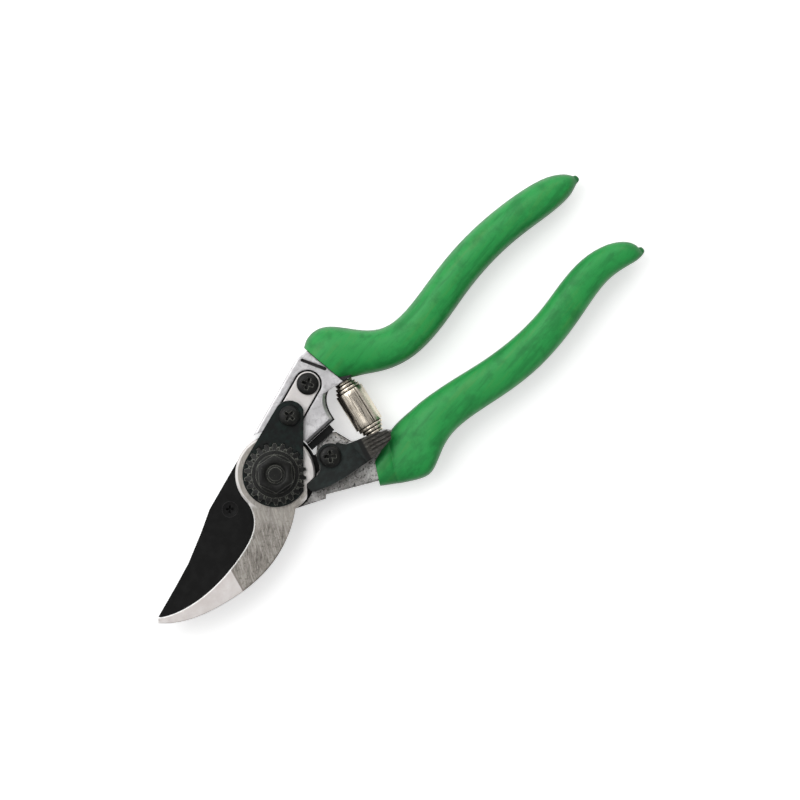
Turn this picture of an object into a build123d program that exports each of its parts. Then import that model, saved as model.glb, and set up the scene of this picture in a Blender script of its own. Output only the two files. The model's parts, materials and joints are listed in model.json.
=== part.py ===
"""Bypass pruner, shown shut and held by its thumb catch.

Millimetres. The pivot axis is Z, through the origin. Z = 0 is the back of the pivot bolt's head and
of both grips, +X runs from the blades to the ends of the grips, and +Y points to the handle that
carries the hook. The upper handle swings about +Z from the lower one as the pruner opens.
"""

import os
from math import atan2, cos, degrees, radians, sin

from build123d import *

# How far it moves
opening_range = 36.0  # degrees between the handles, shut to fully open
latch_range = 22.0  # degrees that the thumb catch turns over the same travel

# Stack along the pivot axis, from the back to the front
bolt_head_height = 3.0
washer_thickness = 0.8
hub_web = 3.8  # metal left in the lower hub over the bolt head's seat
cutting_blade_thickness = 3.0
blade_running_gap = 0.05
hook_thickness = 4.0
plate_base_thickness = 1.0
adjuster_thickness = 1.6
nut_flange_thickness = 1.0
nut_hex_height = 4.0
bolt_end_height = 0.8

# Pivot
bolt_head_radius = 7.0
bolt_shank_radius = 4.0
bolt_flats = 6.4  # across the two flats that key the bolt to the hook
bolt_thread_radius = 3.0
bolt_chamfer = 0.6
bush_wall = 1.2
washer_radius = 6.8
running_fit = 0.04  # radial clearance of a turning joint
press_gap = 0.02  # radial clearance of a pressed joint
screw_gap = 0.1  # radial clearance of a screw in its hole
axial_play = 0.05
seat_gap = 0.3  # room round a part that lies in a recess
cutter_size = 80.0  # side of a straight cut, longer than any piece that it trims

# Hub, hook and cutting blade
hub_radius = 14.0
blade_hub_radius = 13.8
blade_pocket_gap = 0.4  # room round the hubs inside the lower forging
hook_inside_bearing = 184.9  # where the crescent's inner edge leaves the hub, in degrees from +X
hook_outside_bearing = 258.0  # where its outer edge comes back to the hub
hook_tip = (-65.5, -10.9)  # outer corner of the blunt end
hook_end = (-64.3, -9.4)  # its inner corner
facet_start = (-34.6, -19.3)  # middle of the line where the ground tip facet begins
facet_turn = 12.9  # degrees that this line leans from straight across
facet_angle = 3.6  # degrees that the facet falls away
hub_chamfer = 0.6
blade_tip = (-63.9, -9.3)
blade_spine_bearing = 107.4  # where the blade's straight spine leaves its hub
blade_heel_bearing = 234.5  # where its cutting edge comes back to the hub
blade_edge_middle = (-38.0, -17.6)
blade_bevel_width = 5.0
blade_edge_land = 0.6  # thickness left at the cutting edge
blade_screw_at = (-20.0, 1.6)
blade_screw_head_radius = 2.8
blade_screw_radius = 1.5
blade_screw_length = 6.4
tongue_back = 3.2
tongue_end_radius = 5.4
tongue_root_radius = 11.5

# Tang of the hook and its two screws
tang_screw_at = (29.7, 15.7)
tang_angle = 18.0
tang_half_width = 4.35
screw_spacing = 12.9
small_screw_radius = 2.0
tang_screw_head_radius = 3.9
plate_screw_head_radius = 3.6
small_head_height = 2.1
head_rounding = 0.45  # share of a pan head's height
drive_reach = 0.55  # arm of a pan head's cross, as a share of the head's radius
sunk_drive_reach = 0.62  # the same in the blade's flush screw
drive_slot = 0.32  # width of a cross's slots, as a share of its arm
drive_centre = 0.36  # radius of the hollow in its middle, as a share of its arm
drive_depth = 1.2
tang_screw_length = 9.0
plate_screw_length = 11.5

# Locking plate, adjuster and nut
plate_disc_radius = 11.5
plate_boss_radius = 5.4
plate_flat_offset = 9.9
plate_flat_angle = -42.4
plate_bore_radius = 5.6
plate_raised_from = 3.5  # the raised, toothed part starts this far past the pivot
adjuster_teeth = 22
adjuster_tip_radius = 11.0
adjuster_root_radius = 9.7
adjuster_tooth_share = 0.36  # width of a tooth's tip, as a share of one pitch
adjuster_gap = 0.15
nut_spigot_flats = 10.0
nut_flange_radius = 7.1
nut_flats = 11.6
nut_crown = 30.0  # degrees of the cone that rounds the nut's corners

# Thumb catch
latch_screw_at = (18.4, -8.4)
latch_screw_radius = 2.4
latch_screw_head_radius = 3.9
latch_screw_length = 12.0
latch_washer_thickness = 0.65
latch_washer_radius = 4.4
latch_thickness = 3.3
latch_boss_radius = 4.7
latch_tail = [(10.6, -10.2), (6.1, -10.3), (5.4, -11.0), (5.3, -12.9), (6.1, -13.9)]
latch_unhook_angle = 18.0  # opening at which the catch has left its notch
notch_reach = 2.0  # how far the notch is cut past the rim of the hub
pad_back = 13.4
pad_thickness = 3.6
pad_rib_count = 4
pad_rib_spacing = 1.35
pad_groove_at = (35.2, -15.6)
pad_groove_length = 8.4
pad_groove_turn = -14.0
pad_groove_width = 0.5
pad_groove_depth = 0.45

# Forgings
forging_back = 1.2
forging_edge = 0.7
upper_spine = [(0.0, 14.1), (32.0, 24.6)]  # straight top edge of the upper forging
cheek_point = (29.0, 3.6)  # on the hollow front edge of its head
cheek_foot = 28.3  # X where that edge meets the stop face
lower_spine = [(8.4, -17.3), (24.6, -25.8)]  # straight bottom edge of the lower forging
lower_cheek = [(27.5, -9.4), (25.7, -3.4)]  # its edge beside the bumper
forging_bevel = 1.5
lower_bevel = 1.2
stop_face = 0.1
upper_pocket_gap = 1.5  # room round the hubs inside the upper forging
hub_rim_width = 1.1  # rim of the lower hub that closes most of this room from behind
hub_rim_bearings = (-30.0, 60.0)  # stretch that has the rim, in degrees from +X
relief_gap = 1.7  # wider room round the hook's hub beside the catch
relief_from = (8.0, -9.5)  # lowest corner of this room
shoulder_back = 3.4  # the forgings are thinner inside the grips, from here
shoulder_front = 13.2  # to here
tang_recess_gap = 0.6  # room round the hook's tang in its recess
bumper_seat = -2.5
bumper_gap = 1.2  # from the rim of the hub
bumper_length = 10.6
bumper_front = 12.2
bumper_back = 3.0
bumper_stem_width = 3.0
bumper_stem_front = 9.4
bumper_stem_depth = 2.6
lower_face = 10.4
tang_back = 4.4
tang_width = 8.0
tang_bend_radius = 9.0
shoulder_groove_at = (35.8, 19.3)
shoulder_groove_length = 9.6
shoulder_groove_turn = -63.0
shoulder_groove_width = 1.1
shoulder_groove_depth = 1.3

# Grips
grip_roundness = 0.86  # corner radius of a section, as a share of the largest that fits
grip_wall_gap = 0.1
nub_radius = 1.5

# Return spring, a double volute
spring_centre = (37.4, -2.6)
spring_angle = 79.4
spring_length = 21.4
spring_axis_height = 7.4
spring_body_radius = 5.2
spring_end_radius = 3.2
spring_strip = 0.75
spring_pitch = 0.9  # how far in each turn lies from the last
spring_turns = 2.0
spring_body_length = 14.0
spring_seat_gap = 0.1
spring_trim = 0.2  # room between the strip and the volute's profile
spring_seat_half_width = 3.3
spring_pocket_gap = 0.7
peg_radius = 1.9
peg_tip_radius = 1.3
peg_height = 3.2
peg_depth = 4.0

# Heights that follow from the stack
bore_floor = bolt_head_height + washer_thickness
hub_front = bore_floor + hub_web
blade_front = hub_front + cutting_blade_thickness
blade_bevel_depth = cutting_blade_thickness - blade_edge_land
hook_back = blade_front + blade_running_gap
hook_front = hook_back + hook_thickness
adjuster_back = hook_front + plate_base_thickness
adjuster_front = adjuster_back + adjuster_thickness
nut_flange_front = adjuster_front + nut_flange_thickness
nut_front = nut_flange_front + nut_hex_height
bolt_end = nut_front + bolt_end_height
latch_back = lower_face + latch_washer_thickness + axial_play
latch_front = latch_back + latch_thickness
tang_front = lower_face

# Places that follow from the tang
tang_x = cos(radians(tang_angle))
tang_y = sin(radians(tang_angle))
tang_length = tang_screw_at[0] * tang_x + tang_screw_at[1] * tang_y  # from its screw to beside the pivot
plate_screw_at = (
    tang_screw_at[0] - screw_spacing * tang_x,
    tang_screw_at[1] - screw_spacing * tang_y,
)
plate_screw_bearing = degrees(atan2(plate_screw_at[1], plate_screw_at[0]))
bush_radius = bolt_shank_radius + running_fit + bush_wall
pocket_radius = hub_radius + blade_pocket_gap
upper_pocket_radius = hub_radius + upper_pocket_gap
hub_rim_radius = hub_radius + hub_rim_width
bumper_start = hub_radius + bumper_gap
seat_distance = spring_length / 2 + spring_seat_gap

# Stations along the grips: outer corner, inner corner, back height and front height of each section
upper_grip_stations = [
    ((37.2, 25.7), (39.4, 9.0), 0.3, 16.4),
    ((43.2, 27.8), (43.0, 6.9), 0.05, 16.8),
    ((48.6, 25.5), (46.6, 4.9), 0.05, 17.0),
    ((53.6, 19.5), (50.6, 2.2), 0.05, 17.0),
    ((59.2, 13.4), (56.8, -0.9), 0.05, 17.0),
    ((66.6, 11.0), (66.0, -2.7), 0.05, 17.0),
    ((78.0, 12.1), (79.0, -1.2), 0.05, 17.0),
    ((91.0, 15.0), (92.0, 2.0), 0.05, 17.0),
    ((105.0, 16.6), (105.0, 3.8), 0.05, 17.0),
    ((119.0, 16.4), (118.0, 4.0), 0.05, 16.8),
    ((132.0, 14.9), (130.0, 2.6), 0.3, 16.4),
    ((140.6, 12.7), (138.4, 2.2), 0.9, 15.4),
    ((145.4, 9.1), (143.2, 2.9), 2.2, 13.6),
    ((147.2, 6.5), (146.2, 4.0), 4.6, 11.4),
]
lower_grip_stations = [
    ((24.4, -27.7), (40.4, -15.9), 0.3, 12.7),
    ((38.9, -36.4), (48.0, -15.5), 0.15, 14.0),
    ((46.0, -34.3), (52.6, -15.6), 0.15, 16.0),
    ((54.0, -30.7), (58.6, -16.0), 0.15, 17.0),
    ((66.0, -31.4), (68.0, -17.3), 0.15, 17.0),
    ((80.0, -34.0), (81.0, -20.0), 0.15, 17.0),
    ((94.0, -34.9), (94.0, -21.2), 0.15, 17.0),
    ((109.0, -33.1), (107.0, -20.7), 0.15, 17.0),
    ((121.0, -30.2), (118.5, -18.0), 0.15, 16.8),
    ((131.0, -28.0), (130.0, -16.6), 0.3, 16.4),
    ((138.6, -28.9), (140.4, -18.9), 0.9, 15.4),
    ((143.6, -30.1), (146.2, -23.4), 2.2, 13.6),
    ((146.2, -29.9), (147.6, -27.0), 4.6, 11.4),
]
upper_tang_path = [
    (40.0, 17.0), (49.0, 13.5), (58.0, 6.6), (68.0, 4.2), (84.0, 6.8), (104.0, 9.9),
    (124.0, 9.7), (136.5, 8.0),
]
lower_tang_path = [
    (36.0, -22.5), (52.0, -23.0), (68.0, -24.4), (88.0, -27.8), (106.0, -27.0), (124.0, -22.9),
    (138.0, -23.4),
]


def on_rim(radius, bearing):
    """Point on a circle round the pivot, at a bearing in degrees from +X."""
    return (radius * cos(radians(bearing)), radius * sin(radians(bearing)))


def halfway(ends, height):
    """Middle of a straight stretch of an outline, at a height."""
    start, end = ends
    return Vector((start[0] + end[0]) / 2, (start[1] + end[1]) / 2, height)


def carried(point, opening):
    """Place of a point of the thumb catch, seen from the hook, at an opening in degrees."""
    screw = Vector(*latch_screw_at)
    turned = (Vector(*point) - screw).rotate(Axis.Z, opening * latch_range / opening_range)
    seen = (turned + screw).rotate(Axis.Z, -opening)
    return (seen.X, seen.Y)


def tang_plane(height):
    """Plane with its origin on the tang screw and its X axis along the tang."""
    return Plane(origin=(*tang_screw_at, height), x_dir=(tang_x, tang_y, 0), z_dir=(0, 0, 1))


def tang_outline(grow=0.0):
    """Round-ended bar from the hub to just past the tang screw."""
    with BuildSketch(tang_plane(0)) as outline:
        Circle(tang_half_width + grow)
        Rectangle(tang_length, 2 * (tang_half_width + grow), align=(Align.MAX, Align.CENTER))
    return outline.sketch


def notch_outline():
    """Notch in the hook's hub, cut along the way that the catch's tail leaves it."""
    corner = latch_tail[2]
    with BuildSketch() as outline:
        with BuildLine():
            start, tip = latch_tail[0], latch_tail[1]
            way_out = [carried(corner, latch_unhook_angle * step / 4) for step in range(5)]
            Polyline(
                (start[0] + notch_reach, start[1]), tip, *way_out,
                (start[0] + notch_reach, -hub_radius - notch_reach), close=True,
            )
        make_face()
        offset(amount=seat_gap)
    return outline.sketch


def seat_corner(along, side):
    """End of a spring seat, in front view, on one side (+1 or -1) of the spring's axis."""
    turn = radians(spring_angle)
    return (
        spring_centre[0] + along * cos(turn) + side * spring_seat_half_width * sin(turn),
        spring_centre[1] + along * sin(turn) - side * spring_seat_half_width * cos(turn),
    )


def upper_head_outline(grow=0.0):
    """Head of the upper forging, in front view, with its shoulder inside the grip."""
    with BuildSketch() as outline:
        with BuildLine():
            top = Polyline(
                *upper_spine, (41.5, 24.3), (48.5, 19.5), (46.0, 9.0),
                seat_corner(seat_distance, 1), seat_corner(seat_distance, -1), (33.6, 9.0),
            )
            cheek = Spline(top @ 1, (30.6, 6.8), cheek_point, (cheek_foot, stop_face))
            Polyline(cheek @ 1, (10.0, stop_face), top @ 0)
        make_face()
        if grow:
            offset(amount=grow)
    return outline.sketch


def lower_head_outline(grow=0.0):
    """Neck and head of the lower forging, in front view, with its shoulder inside the grip."""
    with BuildSketch() as outline:
        with BuildLine():
            Polyline(
                (0.0, 0.0), (-6.0, -12.2), (7.3, -18.3), *lower_spine, (35.0, -31.2),
                (43.0, -28.0), (43.0, -18.6), seat_corner(-seat_distance, 1),
                seat_corner(-seat_distance, -1), *lower_cheek, (24.6, bumper_seat),
                (17.6, bumper_seat), (15.4, -4.4), close=True,
            )
        make_face()
        if grow:
            offset(amount=grow)
    return outline.sketch


def toothed_outline(grow=0.0):
    """Rim of straight-flanked teeth round the adjuster, grown for the pocket that it meshes with."""
    pitch = radians(360 / adjuster_teeth)
    tip, root = adjuster_tip_radius + grow, adjuster_root_radius + grow
    tip_half = adjuster_tooth_share / 2 * pitch
    root_half = pitch / 2 - tip_half
    widen = grow / root
    rim = []
    for tooth in range(adjuster_teeth):
        for radius, turn in (
            (root, -root_half - widen), (tip, -tip_half - widen),
            (tip, tip_half + widen), (root, root_half + widen),
        ):
            angle = tooth * pitch + turn
            rim.append((radius * cos(angle), radius * sin(angle)))
    with BuildSketch() as outline:
        with BuildLine():
            Polyline(*rim, close=True)
        make_face()
    return outline.sketch


def tang_bar(path, grow=0.0):
    """Bent bar inside a grip, along the middle of it."""
    with BuildSketch() as bar:
        with BuildLine() as middle:
            FilletPolyline(*path, radius=tang_bend_radius)
        trace(middle.line, line_width=tang_width + 2 * grow)
        with Locations(path[-1]):
            Circle(tang_width / 2 + grow)
    return bar.sketch


def past_mouth(station, side):
    """Front view of all that lies past a grip's mouth, on one side (+1 or -1) of its line."""
    outer, inner = Vector(*station[0]), Vector(*station[1])
    mouth = Plane(origin=(outer + inner) / 2, x_dir=outer - inner, z_dir=(0, 0, 1))
    with BuildSketch(mouth) as region:
        with Locations((0, -side * grip_wall_gap)):
            Rectangle(cutter_size, cutter_size, align=(Align.CENTER, Align.MIN if side > 0 else Align.MAX))
    return region.sketch


def spring_plane(along):
    """Plane across the spring's axis, at a distance from its middle towards the upper handle."""
    axis = Vector(cos(radians(spring_angle)), sin(radians(spring_angle)), 0)
    middle = Vector(*spring_centre, spring_axis_height)
    return Plane(origin=middle + axis * along, x_dir=(0, 0, 1), z_dir=axis)


def drive_cross(plane, radius):
    """Outline of the cross recess in the top of a screw's head."""
    with BuildSketch(plane) as cross:
        Rectangle(2 * radius, drive_slot * radius)
        Rectangle(drive_slot * radius, 2 * radius)
        Circle(drive_centre * radius)
    return cross.sketch


def pan_screw(name, place, under_head, head_radius, shank_radius, length):
    """Cross-head screw standing along Z, with its head in front."""
    with BuildPart() as screw:
        with BuildSketch(Plane(origin=(*place, under_head))):
            Circle(shank_radius)
        extrude(amount=-length)
        with BuildSketch(Plane(origin=(*place, under_head))):
            Circle(head_radius)
        extrude(amount=small_head_height)
        rim = screw.edges().filter_by(GeomType.CIRCLE).sort_by(Axis.Z)[-1]
        fillet(rim, head_rounding * small_head_height)
        top = Plane(origin=(*place, under_head + small_head_height))
        extrude(drive_cross(top, drive_reach * head_radius), amount=-drive_depth, mode=Mode.SUBTRACT)
    screw.part.label = name
    return screw.part


def spring_peg(name, along, towards):
    """Pin pressed into a forging, whose tapered end holds one end of the spring."""
    seat = spring_plane(along)
    with BuildPart() as peg:
        with BuildSketch(seat):
            Circle(peg_radius)
        extrude(amount=-towards * peg_depth)
        with BuildSketch(seat):
            Circle(peg_radius)
        with BuildSketch(seat.offset(towards * peg_height)):
            Circle(peg_tip_radius)
        loft()
    peg.part.label = name
    return peg.part


def grip_section(outer, inner, back, front):
    """Rounded section of a grip between two edge points and two heights."""
    across = Vector(*outer, 0) - Vector(*inner, 0)
    middle = (Vector(*outer, (back + front) / 2) + Vector(*inner, (back + front) / 2)) / 2
    plane = Plane(origin=middle, x_dir=across, z_dir=across.cross(Vector(0, 0, 1)))
    with BuildSketch(plane) as section:
        width, height = across.length, front - back
        RectangleRounded(width, height, grip_roundness * min(width, height) / 2)
    return section.sketch


def grip(name, stations, head, head_front, tang_path):
    """Dipped vinyl sleeve over a forging's tang, rounded all along its edges, with a drip at its end."""
    with BuildPart() as sleeve:
        for station in stations:
            add(grip_section(*station))
        loft()
        with Locations(grip_section(*stations[-1]).center()):
            Sphere(nub_radius)
        with BuildSketch(Plane.XY.offset(shoulder_back - grip_wall_gap)):
            add(head)
        extrude(amount=head_front - shoulder_back + 2 * grip_wall_gap, mode=Mode.SUBTRACT)
        with BuildSketch(Plane.XY.offset(tang_back - grip_wall_gap)):
            add(tang_bar(tang_path, grip_wall_gap))
        extrude(amount=tang_front - tang_back + 2 * grip_wall_gap, mode=Mode.SUBTRACT)
    sleeve.part.label = name
    return sleeve.part


def finish(part, name):
    """Label a finished piece and write it to its own file."""
    part.label = name
    export_step(part, f"parts/{name}.step")


os.makedirs("parts", exist_ok=True)

# Pivot bolt: round head behind, plain bearing, two flats in the hook, thread in front
with BuildPart() as pivot_bolt:
    with BuildSketch():
        Circle(bolt_head_radius)
    extrude(amount=bolt_head_height)
    chamfer(pivot_bolt.edges().sort_by(Axis.Z)[0], bolt_chamfer)
    with BuildSketch(Plane.XY.offset(bolt_head_height)):
        Circle(bolt_shank_radius)
    extrude(amount=blade_front - bolt_head_height)
    with BuildSketch(Plane.XY.offset(blade_front)):
        Circle(bolt_shank_radius)
        Rectangle(bolt_flats, 2 * bolt_shank_radius, mode=Mode.INTERSECT)
    extrude(amount=hook_front - blade_front)
    with BuildSketch(Plane.XY.offset(hook_front)):
        Circle(bolt_thread_radius)
    extrude(amount=bolt_end - hook_front)
    chamfer(pivot_bolt.edges().sort_by(Axis.Z)[-1], bolt_chamfer)
finish(pivot_bolt.part, "pivot_bolt")

with BuildPart() as back_washer:
    with BuildSketch(Plane.XY.offset(bolt_head_height)):
        Circle(washer_radius)
        Circle(bolt_shank_radius + screw_gap, mode=Mode.SUBTRACT)
    extrude(amount=washer_thickness)
finish(back_washer.part, "back_washer")

with BuildPart() as pivot_bush:
    with BuildSketch(Plane.XY.offset(bore_floor)):
        Circle(bush_radius)
        Circle(bolt_shank_radius + running_fit, mode=Mode.SUBTRACT)
    extrude(amount=blade_front - bore_floor)
finish(pivot_bush.part, "pivot_bush")

# Lower forging: hub behind the cutting blade, tongue behind its middle, neck, head and tang
with BuildPart() as lower_forging:
    with BuildSketch(Plane.XY.offset(forging_back)):
        add(lower_head_outline())
    extrude(amount=lower_face - forging_back)
    rims = lower_forging.edges().group_by(Axis.Z)
    shoulder = rims[-1].sort_by_distance(halfway(lower_cheek, lower_face))[0]
    chamfer(shoulder, lower_bevel)
    back_spine = rims[0].sort_by_distance(halfway(lower_spine, forging_back))[0]
    spine = rims[-1].sort_by_distance(halfway(lower_spine, lower_face))[0]
    fillet([spine, back_spine], forging_edge)
    with BuildSketch(Plane.XY.offset(forging_back)):
        add(past_mouth(lower_grip_stations[0], 1))
    extrude(amount=shoulder_back - forging_back, mode=Mode.SUBTRACT)
    with BuildSketch(Plane.XY.offset(hub_front)):
        Circle(hub_radius + relief_gap)
        with Locations(relief_from):
            Rectangle(cutter_size, cutter_size, align=(Align.MIN, Align.MIN), mode=Mode.INTERSECT)
        Circle(pocket_radius)
    extrude(amount=lower_face - hub_front, mode=Mode.SUBTRACT)
    with BuildSketch(Plane.XY.offset(forging_back)):
        with BuildLine():
            rim_start, rim_end = hub_rim_bearings
            rim = CenterArc((0, 0), hub_rim_radius, rim_start, rim_end - rim_start)
            Polyline(rim @ 1, (0, 0), rim @ 0)
        make_face()
        Circle(hub_radius)
    extrude(amount=hub_front - forging_back)
    with BuildSketch(Plane.XY.offset(tongue_back)):
        Circle(tongue_root_radius)
        with Locations(blade_screw_at):
            Circle(tongue_end_radius)
        make_hull()
    extrude(amount=hub_front - tongue_back)
    with BuildSketch(Plane.XY.offset(tang_back)):
        add(tang_bar(lower_tang_path))
    extrude(amount=tang_front - tang_back)
    with BuildSketch(Plane.XY.offset(forging_back)):
        Circle(bolt_head_radius + seat_gap)
    extrude(amount=bore_floor - forging_back, mode=Mode.SUBTRACT)
    with BuildSketch(Plane.XY.offset(forging_back)):
        Circle(bush_radius + press_gap)
        with Locations(blade_screw_at):
            Circle(blade_screw_radius + press_gap)
    extrude(amount=hub_front - forging_back, mode=Mode.SUBTRACT)
    with BuildSketch(Plane(origin=(*latch_screw_at, lower_face))):
        Circle(latch_screw_radius + press_gap)
    extrude(amount=-latch_screw_length, mode=Mode.SUBTRACT)
    with BuildSketch(Plane.XY.offset(bumper_back)):
        with Locations((bumper_start + bumper_length / 2, bumper_seat)):
            Rectangle(
                bumper_stem_width + 2 * press_gap,
                bumper_stem_depth + press_gap,
                align=(Align.CENTER, Align.MAX),
            )
    extrude(amount=bumper_stem_front + press_gap - bumper_back, mode=Mode.SUBTRACT)
    with BuildSketch(spring_plane(-seat_distance)):
        Circle(peg_radius + press_gap)
    extrude(amount=-peg_depth, mode=Mode.SUBTRACT)
finish(lower_forging.part, "lower_forging")

# Cutting blade: hub, straight spine and round cutting edge, bevelled behind
with BuildPart() as cutting_blade:
    with BuildSketch(Plane.XY.offset(hub_front)):
        Circle(blade_hub_radius)
        with BuildLine():
            spine = Polyline(
                on_rim(blade_hub_radius, blade_spine_bearing), (-25.3, 6.4), (-33.1, 2.3), (-43.6, -2.6),
                (-52.3, -5.6), blade_tip,
            )
            keen = Spline(
                blade_tip, (-52.0, -15.2), blade_edge_middle, (-22.0, -16.4),
                on_rim(blade_hub_radius, blade_heel_bearing), tangents=((0.62, -0.78), (0.86, 0.5)),
            )
            Polyline(keen @ 1, (0.0, 0.0), spine @ 0)
        make_face()
        Circle(bush_radius + press_gap, mode=Mode.SUBTRACT)
    extrude(amount=cutting_blade_thickness)
    back = cutting_blade.edges().group_by(Axis.Z)[0]
    edge = back.sort_by_distance(Vector(*blade_edge_middle, hub_front))[0]
    middle = Vector(*blade_edge_middle, (hub_front + blade_front) / 2)
    side = cutting_blade.faces().sort_by_distance(middle)[0]
    chamfer(edge, blade_bevel_depth, blade_bevel_width, reference=side)
    with Locations(Plane(origin=(*blade_screw_at, blade_front))):
        CounterSinkHole(blade_screw_radius + screw_gap, blade_screw_head_radius + press_gap)
finish(cutting_blade.part, "cutting_blade")

with BuildPart() as blade_screw:
    with BuildSketch(Plane(origin=(*blade_screw_at, blade_front))):
        Circle(blade_screw_radius)
    extrude(amount=-blade_screw_length)
    head_depth = blade_screw_head_radius - blade_screw_radius
    with BuildSketch(Plane(origin=(*blade_screw_at, blade_front))):
        Circle(blade_screw_head_radius)
    with BuildSketch(Plane(origin=(*blade_screw_at, blade_front - head_depth))):
        Circle(blade_screw_radius)
    loft()
    top = Plane(origin=(*blade_screw_at, blade_front))
    cross = drive_cross(top, sunk_drive_reach * blade_screw_head_radius)
    extrude(cross, amount=-drive_depth, mode=Mode.SUBTRACT)
finish(blade_screw.part, "blade_screw")

# Hook: hub, blunt crescent that the blade passes, and tang in the upper forging
with BuildPart() as hook_blade:
    with BuildSketch(Plane.XY.offset(hook_back)):
        Circle(hub_radius)
    extrude(amount=hook_thickness)
    chamfer(hook_blade.edges().group_by(Axis.Z)[-1], hub_chamfer)
    with BuildSketch(Plane.XY.offset(hook_back)):
        with BuildLine():
            inside = Spline(
                on_rim(hub_radius, hook_inside_bearing), (-17.9, -8.5), (-28.3, -12.9), (-41.0, -14.7),
                (-54.4, -13.6), (-60.0, -11.8), hook_end,
            )
            Line(hook_end, hook_tip)
            outside = Spline(
                hook_tip, (-56.5, -17.3), (-46.0, -20.9), (-35.0, -22.8), (-23.5, -22.6),
                (-12.5, -19.5), on_rim(hub_radius, hook_outside_bearing),
            )
            Polyline(outside @ 1, (0.0, 0.0), inside @ 0)
        make_face()
        add(tang_outline())
    extrude(amount=hook_thickness)
    with BuildSketch(Plane.XY.offset(hook_back)):
        Circle(bolt_shank_radius + press_gap)
        Rectangle(bolt_flats + 2 * press_gap, 2 * hub_radius, mode=Mode.INTERSECT)
        add(notch_outline())
        with Locations(tang_screw_at, plate_screw_at):
            Circle(small_screw_radius + screw_gap)
    extrude(amount=hook_thickness, mode=Mode.SUBTRACT)
    facet = Plane(
        origin=(*facet_start, hook_front),
        x_dir=(-cos(radians(facet_turn)), sin(radians(facet_turn)), -sin(radians(facet_angle))),
        z_dir=(
            -sin(radians(facet_angle)) * cos(radians(facet_turn)),
            sin(radians(facet_angle)) * sin(radians(facet_turn)),
            cos(radians(facet_angle)),
        ),
    )
    with BuildSketch(facet):
        Rectangle(cutter_size, cutter_size, align=(Align.MIN, Align.CENTER))
    extrude(amount=hook_thickness, mode=Mode.SUBTRACT)
finish(hook_blade.part, "hook_blade")

# Upper forging: head with a recess for the hook's tang, stop face, spring seat and tang
with BuildPart() as upper_forging:
    with BuildSketch(Plane.XY.offset(forging_back)):
        add(upper_head_outline())
        Circle(upper_pocket_radius, mode=Mode.SUBTRACT)
    extrude(amount=hook_front - forging_back)
    rims = upper_forging.edges().group_by(Axis.Z)
    cheek = rims[-1].sort_by_distance(Vector(*cheek_point, hook_front))[0]
    stop_ends = [(upper_pocket_radius, stop_face), (cheek_foot, stop_face)]
    stop_edge = rims[-1].sort_by_distance(halfway(stop_ends, hook_front))[0]
    chamfer([cheek, stop_edge], forging_bevel)
    spine = rims[-1].sort_by_distance(halfway(upper_spine, hook_front))[0]
    back_spine = rims[0].sort_by_distance(halfway(upper_spine, forging_back))[0]
    fillet([spine, back_spine], forging_edge)
    for start, end in ((forging_back, shoulder_back), (shoulder_front, hook_front)):
        with BuildSketch(Plane.XY.offset(start)):
            add(past_mouth(upper_grip_stations[0], -1))
        extrude(amount=end - start, mode=Mode.SUBTRACT)
    with BuildSketch(Plane.XY.offset(hook_back)):
        add(tang_outline(tang_recess_gap))
    extrude(amount=hook_thickness, mode=Mode.SUBTRACT)
    with BuildSketch(Plane.XY.offset(tang_back)):
        add(tang_bar(upper_tang_path))
    extrude(amount=tang_front - tang_back)
    with BuildSketch(Plane.XY.offset(hook_back)):
        with Locations(tang_screw_at, plate_screw_at):
            Circle(small_screw_radius + press_gap)
    extrude(amount=-tang_screw_length, mode=Mode.SUBTRACT)
    with BuildSketch(Plane(origin=(*shoulder_groove_at, hook_front))):
        SlotOverall(shoulder_groove_length, shoulder_groove_width, rotation=shoulder_groove_turn)
    extrude(amount=-shoulder_groove_depth, mode=Mode.SUBTRACT)
    with BuildSketch(spring_plane(seat_distance)):
        Circle(peg_radius + press_gap)
    extrude(amount=peg_depth, mode=Mode.SUBTRACT)
finish(upper_forging.part, "upper_forging")

for name, place, under_head, head_radius, shank_radius, length in (
    ("tang_screw", tang_screw_at, hook_front, tang_screw_head_radius, small_screw_radius, tang_screw_length),
    ("plate_screw", plate_screw_at, adjuster_front, plate_screw_head_radius, small_screw_radius,
     plate_screw_length),
    ("latch_screw", latch_screw_at, latch_front + axial_play, latch_screw_head_radius,
     latch_screw_radius, latch_screw_length),
):
    finish(pan_screw(name, place, under_head, head_radius, shank_radius, length), name)

# Locking plate: teardrop base under the adjuster, raised and toothed towards its own screw
with BuildPart() as locking_plate:
    with BuildSketch(Plane.XY.offset(hook_front)):
        Circle(plate_disc_radius)
        with Locations(plate_screw_at):
            Circle(plate_boss_radius)
        make_hull()
        with PolarLocations(plate_flat_offset, 1, start_angle=plate_flat_angle):
            Rectangle(cutter_size, cutter_size, align=(Align.MIN, Align.CENTER), mode=Mode.SUBTRACT)
        Circle(plate_bore_radius, mode=Mode.SUBTRACT)
        with Locations(plate_screw_at):
            Circle(small_screw_radius + screw_gap, mode=Mode.SUBTRACT)
    extrude(amount=plate_base_thickness + adjuster_thickness)
    with BuildSketch(Plane.XY.offset(adjuster_back)):
        add(toothed_outline(adjuster_gap))
        with PolarLocations(plate_raised_from, 1, start_angle=plate_screw_bearing):
            Rectangle(cutter_size, cutter_size, align=(Align.MAX, Align.CENTER))
    extrude(amount=adjuster_thickness, mode=Mode.SUBTRACT)
finish(locking_plate.part, "locking_plate")

with BuildPart() as adjuster_ring:
    with BuildSketch(Plane.XY.offset(adjuster_back)):
        add(toothed_outline())
        RegularPolygon(nut_spigot_flats / 2 + press_gap, 6, major_radius=False, mode=Mode.SUBTRACT)
    extrude(amount=adjuster_thickness)
finish(adjuster_ring.part, "adjuster_ring")

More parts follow.
